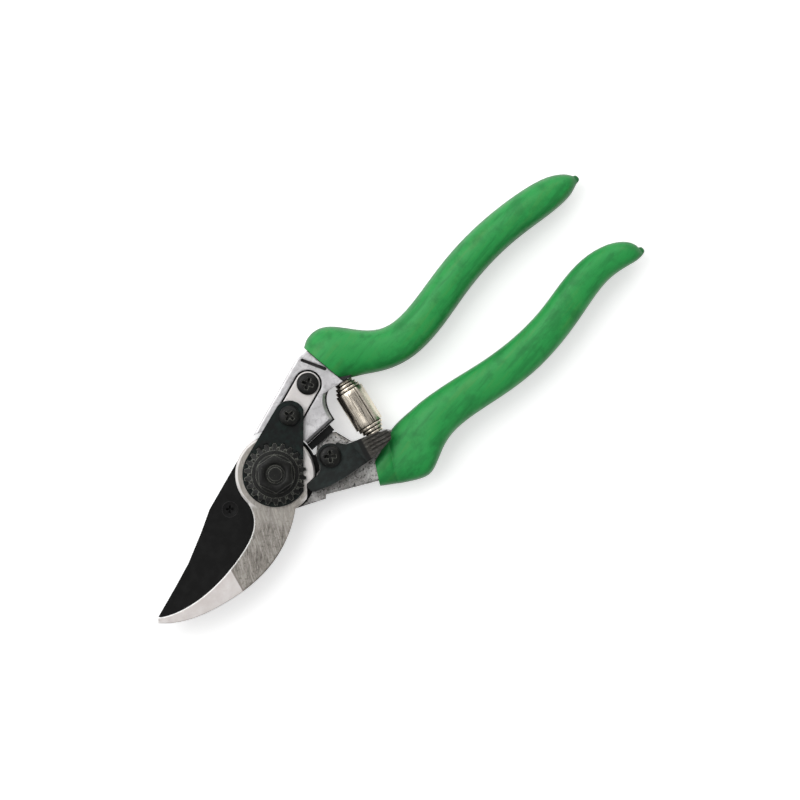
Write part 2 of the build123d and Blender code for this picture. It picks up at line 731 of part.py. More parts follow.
# Nut: hexagon, round flange and the hexagonal spigot that turns the adjuster
with BuildPart() as pivot_nut:
    with BuildSketch(Plane.XY.offset(nut_flange_front)):
        RegularPolygon(nut_flats / 2, 6, major_radius=False)
    extrude(amount=nut_hex_height)
    with BuildSketch(Plane.XY.offset(nut_front)):
        Circle(nut_flats / 2)
    extrude(amount=-nut_hex_height, taper=-nut_crown, mode=Mode.INTERSECT)
    with BuildSketch(Plane.XY.offset(adjuster_front)):
        Circle(nut_flange_radius)
    extrude(amount=nut_flange_thickness)
    with BuildSketch(Plane.XY.offset(adjuster_back)):
        RegularPolygon(nut_spigot_flats / 2, 6, major_radius=False)
    extrude(amount=adjuster_thickness)
    with BuildSketch(Plane.XY.offset(adjuster_back)):
        Circle(bolt_thread_radius + press_gap)
    extrude(amount=nut_front - adjuster_back, mode=Mode.SUBTRACT)
finish(pivot_nut.part, "pivot_nut")

# Thumb catch: tail that drops into the hook's notch, boss, arm and raised ribbed pad
with BuildPart() as latch_lever:
    with BuildSketch(Plane.XY.offset(latch_back)):
        with BuildLine():
            Polyline(
                *latch_tail, (11.6, -16.0), (17.2, -17.3), (26.7, -18.6), (29.2, -18.8),
                (29.2, -10.6), (25.4, -9.0), (23.2, -6.2), latch_screw_at, (14.4, -7.4), (12.6, -9.6),
                latch_tail[0],
            )
        make_face()
        with Locations(latch_screw_at):
            Circle(latch_boss_radius)
        Circle(hub_radius + seat_gap, mode=Mode.SUBTRACT)
        with BuildLine():
            Polyline(*latch_tail, (11.6, -16.0), latch_tail[0])
        make_face()
    extrude(amount=latch_thickness)
    with BuildSketch(Plane.XY.offset(pad_back)):
        with BuildLine():
            Polyline(
                (26.6, -18.6), (33.9, -18.8), (38.4, -18.2), (39.8, -16.2), (38.9, -14.6),
                (31.6, -11.3), (26.6, -9.6), close=True,
            )
        make_face()
    extrude(amount=pad_thickness)
    with BuildSketch(Plane(origin=(*latch_screw_at, latch_back))):
        Circle(latch_screw_radius + running_fit)
    extrude(amount=latch_thickness, mode=Mode.SUBTRACT)
    with BuildSketch(Plane.XY.offset(pad_back + pad_thickness)):
        with Locations(Pos(*pad_groove_at) * Rot(0, 0, pad_groove_turn)):
            with GridLocations(0, pad_rib_spacing, 1, pad_rib_count):
                SlotOverall(pad_groove_length, pad_groove_width)
    extrude(amount=-pad_groove_depth, mode=Mode.SUBTRACT)
finish(latch_lever.part, "latch_lever")

with BuildPart() as latch_washer:
    with BuildSketch(Plane(origin=(*latch_screw_at, lower_face))):
        Circle(latch_washer_radius)
        Circle(latch_screw_radius + screw_gap, mode=Mode.SUBTRACT)
    extrude(amount=latch_washer_thickness)
finish(latch_washer.part, "latch_washer")

# Rubber bumper between the two handles, held by a stem in the lower forging
with BuildPart() as bumper:
    with BuildSketch(Plane.XY.offset(bumper_back)):
        with Locations((bumper_start + bumper_length / 2, bumper_seat)):
            Rectangle(bumper_stem_width, bumper_stem_depth, align=(Align.CENTER, Align.MAX))
    extrude(amount=bumper_stem_front - bumper_back)
    with BuildSketch(Plane.XY.offset(bumper_back)):
        with Locations((bumper_start, bumper_seat)):
            Rectangle(bumper_length, stop_face - axial_play - bumper_seat, align=(Align.MIN, Align.MIN))
    extrude(amount=bumper_front - bumper_back)
finish(bumper.part, "bumper")

finish(spring_peg("upper_spring_peg", seat_distance, -1), "upper_spring_peg")
finish(spring_peg("lower_spring_peg", -seat_distance, 1), "lower_spring_peg")

# Return spring: flat strip wound in a volute at each end, widest in the middle
with BuildPart() as return_spring:
    with BuildSketch(spring_plane(-spring_length / 2)):
        with BuildLine() as strip:
            start, centre = spring_body_radius - spring_strip / 2, 0.0
            for half_turn in range(int(2 * spring_turns)):
                radius = start - half_turn * spring_pitch / 2
                centre = 0.0 if half_turn % 2 == 0 else -spring_pitch / 2
                CenterArc((centre, 0), radius, 180 * half_turn, 180)
        trace(strip.line, line_width=spring_strip)
    extrude(amount=spring_length)
    middle = spring_plane(0)
    with BuildSketch(Plane(origin=middle.origin, x_dir=(0, 0, 1), z_dir=middle.x_dir.cross(middle.z_dir))):
        with BuildLine():
            outside = spring_body_radius + spring_trim
            inside = spring_end_radius - spring_strip - spring_trim
            half_body, half_length = spring_body_length / 2, spring_length / 2
            Polyline(
                (outside, -half_body), (outside, half_body), (inside, half_length),
                (inside, half_length - half_body), (outside - spring_pitch, 0),
                (inside, half_body - half_length), (inside, -half_length), close=True,
            )
        make_face()
    revolve(axis=Axis(middle.origin, middle.z_dir), mode=Mode.INTERSECT)
finish(return_spring.part, "return_spring")

with BuildPart() as upper_grip:
    head = upper_head_outline(grip_wall_gap)
    add(grip("upper_grip", upper_grip_stations, head, shoulder_front, upper_tang_path))
    with BuildSketch(spring_plane(seat_distance)):
        Circle(spring_end_radius + spring_pocket_gap)
    extrude(amount=-spring_length / 2, mode=Mode.SUBTRACT)
finish(upper_grip.part, "upper_grip")

head = lower_head_outline(grip_wall_gap)
finish(grip("lower_grip", lower_grip_stations, head, lower_face, lower_tang_path), "lower_grip")
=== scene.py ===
"""Bypass pruner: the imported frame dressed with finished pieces, materials, light and camera.

Lengths in the classes are millimetres in the frame of the model. Meshes are built in metres.
"""
import json
import logging
from dataclasses import dataclass, field
from enum import Enum
from math import atan2, cos, hypot, pi, radians, sin
from typing import Any, Callable, Sequence

import bmesh
import bpy
from mathutils import Matrix, Vector


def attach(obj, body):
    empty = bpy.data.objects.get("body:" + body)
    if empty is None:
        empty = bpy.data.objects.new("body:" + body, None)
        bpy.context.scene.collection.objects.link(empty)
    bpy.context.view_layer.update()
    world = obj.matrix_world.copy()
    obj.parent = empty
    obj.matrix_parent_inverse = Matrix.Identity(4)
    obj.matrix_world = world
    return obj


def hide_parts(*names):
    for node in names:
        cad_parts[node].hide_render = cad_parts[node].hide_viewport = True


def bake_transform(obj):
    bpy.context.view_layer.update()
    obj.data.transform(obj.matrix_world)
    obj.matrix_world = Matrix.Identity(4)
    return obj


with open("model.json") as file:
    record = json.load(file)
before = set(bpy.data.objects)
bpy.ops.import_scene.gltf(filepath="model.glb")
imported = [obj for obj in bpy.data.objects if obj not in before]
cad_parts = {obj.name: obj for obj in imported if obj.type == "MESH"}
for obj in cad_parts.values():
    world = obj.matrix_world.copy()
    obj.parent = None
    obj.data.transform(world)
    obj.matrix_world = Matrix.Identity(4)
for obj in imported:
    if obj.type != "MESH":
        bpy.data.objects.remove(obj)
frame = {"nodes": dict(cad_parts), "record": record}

LOG = logging.getLogger("pruner")
MM = 0.001
MIDDLE = 0.5  # middle of a noise, which runs from 0 to 1
SEAM = 0.002  # gap in millimetres that turning a profile closes
EDGE_SAMPLES, RECESS_SAMPLES = 4, 6  # rays at each point of a softened edge and of a recess
FACING = 0.9  # least share of a normal along an axis for a face that looks that way
SRGB_TOE, SRGB_SLOPE, SRGB_SHIFT, SRGB_POWER = 0.04045, 12.92, 0.055, 2.4
FACTOR, FIRST_COLOUR, SECOND_COLOUR, MIXED_COLOUR = 0, 6, 7, 2  # sockets of a Mix node that blends colours
WHITE = (1.0, 1.0, 1.0)
Point = tuple[float, float]
Triple = tuple[float, float, float]
Colour = Triple
Piece = bpy.types.Object
Material = bpy.types.Material
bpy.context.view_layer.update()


def linear(red: int, green: int, blue: int) -> Colour:
    """Turns a display colour into the light values that a shader takes.

    Args:
        red: the display colour's red, of 0 to 255.
        green: its green.
        blue: its blue.

    Returns:
        Red, green and blue light, of 0 to 1.
    """
    def channel(value: int) -> float:
        """One channel of the conversion."""
        share = value / 255
        return share / SRGB_SLOPE if share <= SRGB_TOE else ((share + SRGB_SHIFT) / (1 + SRGB_SHIFT)) ** SRGB_POWER

    return channel(red), channel(green), channel(blue)


class Handle(Enum):
    """Bodies of the frame that a piece can ride on."""

    UPPER = "upper_handle"
    LOWER = "lower_handle"


# ---------------------------------------------------------------- shader maths


@dataclass(frozen=True)
class Noise:
    """A noise with features of 1 / scale millimetres, turned by degrees about Z and then stretched."""

    scale: float
    detail: float = 3.0
    roughness: float = 0.5
    turn: float = 0.0
    stretch: Triple = (1.0, 1.0, 1.0)


@dataclass(frozen=True)
class Band:
    """Stretch of values through which a mask rises from 0 to its share, or falls to 0."""

    low: float
    high: float
    share: float = 1.0
    falls: bool = False


class Signal:
    """A value in a material, with Python's operators written as Math nodes."""

    def __init__(self, paint: "Paint", socket: Any) -> None:
        """Wraps a socket of the material that paint is building."""
        self.paint = paint
        self.socket = socket

    def maths(self, operation: str, *others: Any) -> "Signal":
        """Adds one Math node.

        Args:
            operation: the node's operation.
            others: the values after this one, as signals or numbers.

        Returns:
            The node's result.
        """
        inputs = dict(enumerate((self, *others)))
        return self.paint.node("ShaderNodeMath", {"operation": operation}, inputs)

    def __add__(self, other: Any) -> "Signal":
        """Sum."""
        return self.maths("ADD", other)

    def __mul__(self, other: Any) -> "Signal":
        """Product."""
        return self.maths("MULTIPLY", other)

    __radd__, __rmul__ = __add__, __mul__

    def __sub__(self, other: Any) -> "Signal":
        """Difference."""
        return self.maths("SUBTRACT", other)

    def __rsub__(self, other: Any) -> "Signal":
        """Difference from a number."""
        return self.maths("MULTIPLY", -1.0).maths("ADD", other)

    def __pow__(self, other: Any) -> "Signal":
        """Power."""
        return self.maths("POWER", other)

    def sweep(self, low: float, high: float, start: float = 0.0, end: float = 1.0) -> "Signal":
        """Value that runs smoothly from start, where this is low, to end, where it is high."""
        inputs = {"Value": self, "From Min": low, "From Max": high, "To Min": start, "To Max": end}
        return self.paint.node("ShaderNodeMapRange", {"interpolation_type": "SMOOTHSTEP"}, inputs)

    def over(self, band: Band) -> "Signal":
        """Mask that rises or falls smoothly through a band.

        Args:
            band: the values, the mask's most and its way.

        Returns:
            The mask.
        """
        mask = self.sweep(band.low, band.high)
        mask = 1 - mask if band.falls else mask
        return mask if band.share == 1.0 else mask * band.share


class Paint:
    """One node tree under construction, and the nodes that its finish asks for."""

    def __init__(self, name: str, library: Any = None, coordinates: str = "Object") -> None:
        """Starts an empty tree.

        Args:
            name: name of the material or world.
            library: where it is kept, if not with the materials.
            coordinates: the coordinates that its patterns read.
        """
        self.owner = (bpy.data.materials if library is None else library).new(name)
        self.owner.use_nodes = True
        self.tree = self.owner.node_tree
        self.tree.nodes.clear()
        self.places = self.node("ShaderNodeTexCoord", {}, {}, coordinates)

    def node(self, kind: str, settings: dict[str, Any], inputs: dict[Any, Any], output: Any = 0) -> Signal:
        """Adds any node.

        Args:
            kind: the node's type.
            settings: its properties.
            inputs: a value or signal for each named or numbered socket.
            output: the name or number of the socket to hand back.

        Returns:
            The chosen output, or an empty signal for a node without outputs.
        """
        made = self.tree.nodes.new(kind)
        for name, value in settings.items():
            setattr(made, name, value)
        for name, value in inputs.items():
            socket = made.inputs[name]
            if isinstance(value, Signal):
                self.tree.links.new(value.socket, socket)
            elif isinstance(value, tuple) and len(socket.default_value) == 4:
                socket.default_value = (*value, 1.0)
            else:
                socket.default_value = value
        return Signal(self, made.outputs[output] if made.outputs else None)

    def mapped(self, turn: float = 0.0, stretch: Triple = (1.0, 1.0, 1.0), shift: Point = (0.0, 0.0)) -> Signal:
        """Coordinates in millimetres, moved, turned about Z and stretched.

        Args:
            turn: degrees that the pattern's X axis leans from the object's.
            stretch: factor on each axis.
            shift: the point that becomes the pattern's origin, in millimetres.

        Returns:
            The coordinates.
        """
        places = self.places
        for inputs in (
            {"Location": (-shift[0], -shift[1], 0.0), "Scale": (1 / MM,) * 3},
            {"Rotation": (0.0, 0.0, radians(-turn))},
            {"Scale": stretch},
        ):
            places = self.node("ShaderNodeMapping", {"vector_type": "POINT"}, {"Vector": places, **inputs})
        return places

    def split(self, places: Signal) -> list[Signal]:
        """X, Y and Z of some coordinates."""
        first = self.node("ShaderNodeSeparateXYZ", {}, {"Vector": places})
        return [Signal(self, socket) for socket in first.socket.node.outputs]

    def axes(self, turn: float = 0.0, shift: Point = (0.0, 0.0)) -> list[Signal]:
        """X, Y and Z in millimetres, from a moved and turned origin."""
        return self.split(self.mapped(turn=turn, shift=shift))

    def noise(self, noise: Noise) -> Signal:
        """Adds a noise.

        Args:
            noise: its scale, detail, turn and stretch.

        Returns:
            The noise, of 0 to 1.
        """
        inputs = {"Scale": noise.scale, "Detail": noise.detail, "Roughness": noise.roughness}
        inputs["Vector"] = self.mapped(noise.turn, noise.stretch)
        return self.node("ShaderNodeTexNoise", {"noise_dimensions": "3D"}, inputs, "Fac")

    def mix(self, share: Any, first: Any, second: Any) -> Signal:
        """Blends two colours: first where share is 0 and second where it is 1."""
        inputs = {FACTOR: share, FIRST_COLOUR: first, SECOND_COLOUR: second}
        return self.node("ShaderNodeMix", {"data_type": "RGBA", "clamp_factor": True}, inputs, MIXED_COLOUR)

    def layered(self, tone: Any, *layers: tuple[Signal, Band, Colour]) -> Any:
        """Lays colours over a tone, each where its pattern passes through its band.

        Args:
            tone: the colour underneath.
            layers: each layer's pattern, its band and its colour.

        Returns:
            The colour on top.
        """
        for pattern, band, colour in layers:
            tone = self.mix(pattern.over(band), tone, colour)
        return tone

    def bump(self, height: Signal, depth: float, edge: float = 0.0) -> Signal:
        """Normal that follows a height of 0 to 1.

        Args:
            height: the pattern.
            depth: how deep it is, in millimetres.
            edge: radius of the softened edges, in millimetres.

        Returns:
            The normal.
        """
        inputs: dict[str, Any] = {"Height": height, "Distance": depth * MM, "Strength": 1.0}
        if edge:
            inputs["Normal"] = self.soft_edge(edge)
        return self.node("ShaderNodeBump", {}, inputs)

    def soft_edge(self, radius: float) -> Signal:
        """Normal that rounds every edge by a radius in millimetres."""
        return self.node("ShaderNodeBevel", {"samples": EDGE_SAMPLES}, {"Radius": radius * MM})

    def edge_mask(self, radius: float, bend: Band = Band(0.012, 0.16)) -> Signal:
        """Mask that is 1 along edges and 0 on flats; the finishes use it for wear and for painted edge highlights and
        shade.

        Args:
            radius: how far in from an edge it reaches, in millimetres.
            bend: turn of the normal through which the mask rises.

        Returns:
            The mask.
        """
        flat = self.node("ShaderNodeNewGeometry", {}, {}, "Normal")
        inputs = {0: self.soft_edge(radius), 1: flat}
        return (1 - self.node("ShaderNodeVectorMath", {"operation": "DOT_PRODUCT"}, inputs, "Value")).over(bend)

    def recess(self, reach: float, shade: Band = Band(0.35, 0.9, falls=True)) -> Signal:
        """Mask that is 1 deep in the piece's own grooves and corners, within a reach in millimetres."""
        settings = {"samples": RECESS_SAMPLES, "only_local": True}
        return self.node("ShaderNodeAmbientOcclusion", settings, {"Distance": reach * MM}, "AO").over(shade)

    def surface(self, **inputs: Any) -> Material:
        """Closes the material with its shader, whose sockets are named with underscores for spaces."""
        named = {name.replace("_", " "): value for name, value in inputs.items()}
        return self.close(self.node("ShaderNodeBsdfPrincipled", {}, named, "BSDF"))

    def close(self, shader: Signal, kind: str = "ShaderNodeOutputMaterial") -> Any:
        """Joins a shader to the tree's output, and returns what the tree belongs to."""
        self.node(kind, {}, {"Surface": shader})
        return self.owner


# ---------------------------------------------------------------- finishes


@dataclass(frozen=True)
class DippedVinyl:
    """Green vinyl skin of the grips, with faint streaks along them, and painted shade on the lower sides and in its
    grooves.
    """

    slot: str = "green_grip"
    body: Colour = linear(35, 150, 70)
    olive: Colour = linear(74, 140, 64)
    deep: Colour = linear(18, 112, 50)
    shade: Colour = linear(12, 84, 38)
    streaks: Noise = Noise(1.0, 5.0, 0.62, 8.0, (0.05, 0.34, 0.3))
    cloud: Noise = Noise(0.16, 4.0, 0.65)
    grain: Noise = Noise(2.6, 3.0, 0.6)
    roughness: float = 0.46
    unevenness: float = 0.16
    groove_shade_reach: float = 1.6
    groove_shade_share: float = 0.6
    streak_relief: float = 0.6
    grain_relief: float = 0.4
    depth: float = 0.10
    specular: float = 0.35
    coat_roughness: float = 0.3

    def make(self) -> Material:
        """Makes the material.

        Returns:
            The material.
        """
        paint = Paint(self.slot)
        streaks, cloud, grain = paint.noise(self.streaks), paint.noise(self.cloud), paint.noise(self.grain)
        _, _, height = paint.axes()
        tone = paint.layered(
            self.body,
            (streaks, Band(0.48, 0.76, 0.5), self.olive),
            (streaks, Band(0.36, 0.50, 0.5, falls=True), self.deep),
            (cloud, Band(0.44, 0.70, 0.55), self.deep),
            (grain, Band(0.52, 0.8, 0.3), self.deep),
            # Painted shade: the lower sides, towards the floor, are darkened where less light falls.
            (height, Band(8.0, 14.5, 0.75, falls=True), self.shade),
        )
        return paint.surface(
            Specular_IOR_Level=self.specular,
            Coat_Roughness=self.coat_roughness,
            # Painted shade: the grip's own grooves and corners are darkened towards the shade colour.
            Base_Color=paint.mix(paint.recess(self.groove_shade_reach) * self.groove_shade_share, tone, self.shade),
            Roughness=self.roughness + (cloud - MIDDLE) * self.unevenness,
            Normal=paint.bump(streaks * self.streak_relief + grain * self.grain_relief, self.depth),
        )


@dataclass(frozen=True)
class GroundSteel:
    """Hook: ground flats with crossing scratches, a painted highlight on the polished inner edge, painted shade on
    the outer edges and a tip facet painted brighter.
    """

    slot: str = "ground_steel"
    body: Colour = (0.26, 0.24, 0.215)
    dark: Colour = (0.09, 0.08, 0.07)
    light: Colour = (0.52, 0.49, 0.45)
    polish: Colour = (0.78, 0.755, 0.74)
    facet: Colour = (0.64, 0.59, 0.57)
    edge_highlight: Colour = (0.92, 0.92, 0.91)
    crease: Colour = (0.17, 0.14, 0.12)
    steep: Noise = Noise(1.0, 5.0, 0.75, 66.0, (0.13, 1.9, 0.5))
    shallow: Noise = Noise(1.0, 4.0, 0.7, 44.0, (0.12, 1.5, 0.5))
    blotch: Noise = Noise(0.30, 4.0, 0.65)
    spots: Noise = Noise(1.1, 3.0, 0.6)
    facet_from: Point = (-34.6, -19.3)
    facet_lean: float = 12.9
    facet_edge: Band = Band(-0.1, 0.25)
    facet_scratches: float = 0.2
    hub_radius: float = 14.0
    ring_width: float = 1.15
    ring_fade: float = 0.5
    ring_share: float = 0.85
    ring_end: Band = Band(0.2, 1.4, falls=True)
    halo: Band = Band(1.5, 6.0, 0.4, falls=True)
    hook_way: Point = (-0.6, -0.8)
    hook_from: Band = Band(9.5, 11.5)
    tang_from: Band = Band(2.0, 8.0)
    tang_cloud: float = 0.5
    blade_from: Band = Band(-14.5, -13.0, falls=True)
    inner_side: float = -16.8
    inner_bend: float = 40.0
    inner_slope: float = 0.16
    inner_edge: Band = Band(0.0, 0.5)
    edge_width: float = 0.9
    edge_bend: Band = Band(0.004, 0.05)
    relief: float = 0.5
    depth: float = 0.05
    softness: float = 0.45
    roughness: float = 0.42
    facet_gloss: float = 0.08
    unevenness: float = 0.12

    def make(self) -> Material:
        """Makes the material.

        Returns:
            The material.
        """
        paint = Paint(self.slot)
        x, y, _ = paint.axes()
        steep, shallow = paint.noise(self.steep), paint.noise(self.shallow)
        blotch, spots = paint.noise(self.blotch), paint.noise(self.spots)
        tone = paint.layered(
            self.body,
            (steep, Band(0.44, 0.70), self.light),
            (shallow, Band(0.36, 0.52, 0.6, falls=True), self.dark),
            (blotch, Band(0.42, 0.70, 0.4), self.light),
            (spots, Band(0.34, 0.46, 0.45, falls=True), self.dark),
        )
        # The tip facet is ground finer and less rough; its paler colour is painted light for the light the facet
        # catches.
        along, _, _ = paint.axes(180.0 - self.facet_lean, self.facet_from)
        on_facet = along.over(self.facet_edge)
        pale = paint.mix(blotch.over(Band(0.3, 0.8, 0.6)) + steep * self.facet_scratches, self.facet, self.polish)
        # Painted shade: a dark line in the crease where the facet starts.
        pale = paint.layered(pale, (along, Band(0.45, 0.8, 0.8, falls=True), self.crease))
        tone = paint.mix(on_facet, tone, pale)
        tone = self.hub(paint, tone, x, y)
        tone = paint.mix(x.over(self.tang_from), tone, paint.mix(blotch * self.tang_cloud, self.polish, self.facet))
        # Painted highlight: a bright line along the polished inner cutting edge.
        bend = (x + self.inner_bend).maths("MINIMUM", 0.0) * self.inner_slope
        inner = (y - self.inner_side + bend).over(self.inner_edge) * x.over(self.blade_from)
        outer = (1 - inner) * x.over(self.blade_from) * (1 - on_facet)
        wear_and_painted_light = paint.edge_mask(self.edge_width, self.edge_bend)
        # Painted shade: the outer edges are darkened as they turn away from the light.
        tone = paint.mix(wear_and_painted_light * outer, tone, self.dark)
        return paint.surface(
            Metallic=1.0,
            Base_Color=paint.mix(wear_and_painted_light * inner, tone, self.edge_highlight),
            Roughness=self.roughness - on_facet * self.facet_gloss + (blotch - MIDDLE) * self.unevenness,
            Normal=paint.bump(steep * self.relief + shallow * self.relief, self.depth, self.softness),
        )

    def hub(self, paint: Paint, tone: Signal, x: Signal, y: Signal) -> Signal:
        """Adds the light halo round the hub and the polished ring along its rim.

        Args:
            paint: the material.
            tone: the colour so far.
            x: millimetres along X from the pivot.
            y: millimetres along Y from it.

        Returns:
            The colour with both.
        """
        reach = (x * x + y * y) ** 0.5
        low = self.hub_radius - self.ring_width
        ring = reach.over(Band(low, low + self.ring_fade))
        ends, halo = (
            reach.over(Band(self.hub_radius + band.low, self.hub_radius + band.high, band.share, band.falls))
            for band in (self.ring_end, self.halo)
        )
        on_hook = (x * self.hook_way[0] + y * self.hook_way[1]).over(self.hook_from)
        tone = paint.mix(halo, tone, self.light)
        return paint.mix(ring * ends * (1 - on_hook) * self.ring_share, tone, self.polish)


@dataclass(frozen=True)
class BlackCoat:
    """Black coatings and oxides: a dark skin with faint wear, lighter along its edges through wear and painted
    highlight, with painted shade in its hollows.
    """

    slot: str
    body: Colour
    tint: Colour
    wear_and_glint: Colour = (0.11, 0.11, 0.105)
    roughness: float = 0.5
    unevenness: float = 0.25
    specular: float = 0.3
    grain: float = 1.4
    depth: float = 0.03
    edge: float = 0.3
    wear: float = 0.35
    edge_wear_and_glint: float = 0.5
    edge_reach: float = 0.3
    hollow_shade_reach: float = 0.0
    hollow_shade: Colour = linear(6, 6, 6)

    def make(self) -> Material:
        """Makes the material.

        Returns:
            The material.
        """
        paint = Paint(self.slot)
        cloud, grain = paint.noise(Noise(0.35, 4.0, 0.6)), paint.noise(Noise(self.grain, 4.0, 0.65))
        tone = paint.layered(
            self.body,
            (cloud, Band(0.38, 0.7), self.tint),
            (grain, Band(0.60, 0.82, self.wear), self.wear_and_glint),
        )
        # Edges are painted lighter: partly wear, partly a painted highlight along rims and corners.
        wear_and_painted_light = paint.edge_mask(self.edge_reach) * cloud.over(Band(0.25, 0.6)) * self.edge_wear_and_glint
        tone = paint.mix(wear_and_painted_light, tone, self.wear_and_glint)
        # Painted shade: the piece's own recesses, such as a screw's cross, are darkened almost to black.
        if self.hollow_shade_reach:
            tone = paint.mix(paint.recess(self.hollow_shade_reach), tone, self.hollow_shade)
        return paint.surface(
            Specular_IOR_Level=self.specular,
            Base_Color=tone,
            Roughness=self.roughness + (grain - MIDDLE) * self.unevenness,
            Normal=paint.bump(grain, self.depth, self.edge),
        )


@dataclass(frozen=True)
class ForgedAlloy:
    """Forgings: a cast and tumbled skin, from bright satin to coarse and speckled, with painted shade in its recesses
    and painted near-black below a height as shade on the sides, webs and back.
    """

    slot: str
    body: Colour
    pale: Colour
    speck: Colour
    grain: float
    specks: float
    depth: float
    roughness: float
    # Painted shade: below this height the forging is painted near-black, matt and not metallic; the four fields after
    # it give that dark colour, its fade, waver and added roughness.
    shaded_below: float
    side_shade: Colour = linear(24, 24, 25)
    side_shade_fade: float = 0.12
    side_shade_waver: float = 0.5
    coat_roughness: float = 0.1
    edge: float = 0.5
    hollow_shade: Colour = (0.012, 0.012, 0.012)
    recess_shade_reach: float = 1.5
    finer: float = 2.3
    fine_share: float = 0.7
    unevenness: float = 0.2
    grain_relief: float = 0.6
    fine_relief: float = 0.4

    def make(self) -> Material:
        """Makes the material.

        Returns:
            The material.
        """
        paint = Paint(self.slot)
        cloud, grain = paint.noise(Noise(0.18, 3.0, 0.6)), paint.noise(Noise(self.grain, 4.0, 0.75))
        fine = paint.noise(Noise(self.grain * self.finer, 2.0, 0.6))
        tone = paint.layered(
            self.body,
            (cloud, Band(0.35, 0.7), self.pale),
            (grain, Band(0.34, 0.52, self.specks, falls=True), self.speck),
        )
        tone = paint.mix(fine.over(Band(0.58, 0.74, self.specks)) * self.fine_share, tone, self.pale)
        # Painted shade: the side walls, webs and back below a height are painted near-black.
        _, _, height = paint.axes()
        level = height + (grain - MIDDLE) * self.side_shade_waver
        side_shade_mask = level.over(Band(self.shaded_below - self.side_shade_fade, self.shaded_below + self.side_shade_fade, falls=True))
        # Painted shade: grooves and corners are darkened and made less metallic.
        recess_shade = paint.recess(self.recess_shade_reach)
        tone = paint.mix(recess_shade, tone, self.hollow_shade)
        roughness = self.roughness + (grain - MIDDLE) * self.unevenness + side_shade_mask * self.coat_roughness
        return paint.surface(
            Base_Color=paint.mix(side_shade_mask, tone, self.side_shade),
            Metallic=(1 - side_shade_mask) * (1 - recess_shade),
            Roughness=roughness,
            Normal=paint.bump(grain * self.grain_relief + fine * self.fine_relief, self.depth, self.edge),
        )


@dataclass(frozen=True)
class NickelPlate:
    """Bright warm nickel of the spring, with dark lines along the barrel, with a faint relief, painted as
    reflections, and painted shade in its grooves.
    """

    slot: str = "spring_nickel"
    body: Colour = (0.86, 0.78, 0.66)
    stain: Colour = (0.52, 0.45, 0.35)
    painted_dark: Colour = (0.07, 0.06, 0.05)
    lines: Noise = Noise(1.0, 4.0, 0.7, 79.4, (0.07, 1.3, 1.3))
    cloud: Noise = Noise(0.5)
    groove_shade_reach: float = 0.9
    roughness: float = 0.20
    line_roughness: float = 0.14
    depth: float = 0.03
    edge: float = 0.12

    def make(self) -> Material:
        """Makes the material.

        Returns:
            The material.
        """
        paint = Paint(self.slot)
        lines = paint.noise(self.lines)
        tone = paint.layered(
            self.body,
            (paint.noise(self.cloud), Band(0.45, 0.75, 0.5), self.stain),
            # Painted reflection: dark lines along the barrel.
            (lines, Band(0.34, 0.47, 0.85, falls=True), self.painted_dark),
        )
        return paint.surface(
            Metallic=1.0,
            # Painted shade: the grooves between the turns are darkened.
            Base_Color=paint.mix(paint.recess(self.groove_shade_reach), tone, self.painted_dark),
            Roughness=self.roughness + lines * self.line_roughness,
            Normal=paint.bump(lines, self.depth, self.edge),
        )


@dataclass(frozen=True)
class WornCatch:
    """Thumb catch: black with a green-grey cast, rubbed brown-grey on the ribbed pad."""

    slot: str = "catch_black"
    body: Colour = linear(24, 28, 27)
    cast: Colour = linear(34, 44, 42)
    pad: Colour = linear(56, 52, 47)
    wear_and_painted_light: Colour = linear(112, 108, 102)
    edge_glint: Colour = linear(170, 170, 166)
    step_shade: Colour = linear(10, 10, 10)
    pad_from: Point = (28.9, -14.4)
    pad_lean: float = -14.0
    pad_share: float = 0.7
    rib_pitch: float = 1.35
    rib_share: float = 0.05
    step_shade_share: float = 0.85
    edge_reach: float = 0.25
    glint_share: float = 0.45
    specular: float = 0.24
    roughness: float = 0.46
    unevenness: float = 0.25
    depth: float = 0.05
    edge: float = 0.3

    def make(self) -> Material:
        """Makes the material.

        Returns:
            The material.
        """
        paint = Paint(self.slot)
        along, across, height = paint.axes(self.pad_lean, self.pad_from)
        cloud = paint.noise(Noise(0.4, 3.0, 0.6))
        grain = paint.noise(Noise(1.6, 4.0, 0.65, self.pad_lean, (0.5, 1.6, 1.0)))
        tone = paint.layered(self.body, (cloud, Band(0.4, 0.7), self.cast))
        on_pad = along.over(Band(0.3, 0.8)) * height.over(Band(14.6, 15.4))
        ribs = (across * (2 * pi / self.rib_pitch)).maths("SINE")
        pad = paint.layered(self.pad, (ribs * self.rib_share + grain, Band(0.42, 0.80), self.wear_and_painted_light))
        tone = paint.mix(on_pad * self.pad_share, tone, pad)
        # Painted highlight: a glint along the catch's edges, stopping short of the pad.
        glint = paint.edge_mask(self.edge_reach) * cloud.over(Band(0.35, 0.6)) * along.over(Band(-4.0, -3.0, falls=True))
        tone = paint.mix(glint * self.glint_share, tone, self.edge_glint)
        # Painted shade: a dark band across the catch where the ribbed pad begins.
        step_shade = along.over(Band(-1.2, -0.6)) * along.over(Band(0.5, 1.0, falls=True))
        return paint.surface(
            Specular_IOR_Level=self.specular,
            Base_Color=paint.mix(step_shade * self.step_shade_share, tone, self.step_shade),
            Roughness=self.roughness + (grain - MIDDLE) * self.unevenness,
            Normal=paint.bump(grain, self.depth, self.edge),
        )


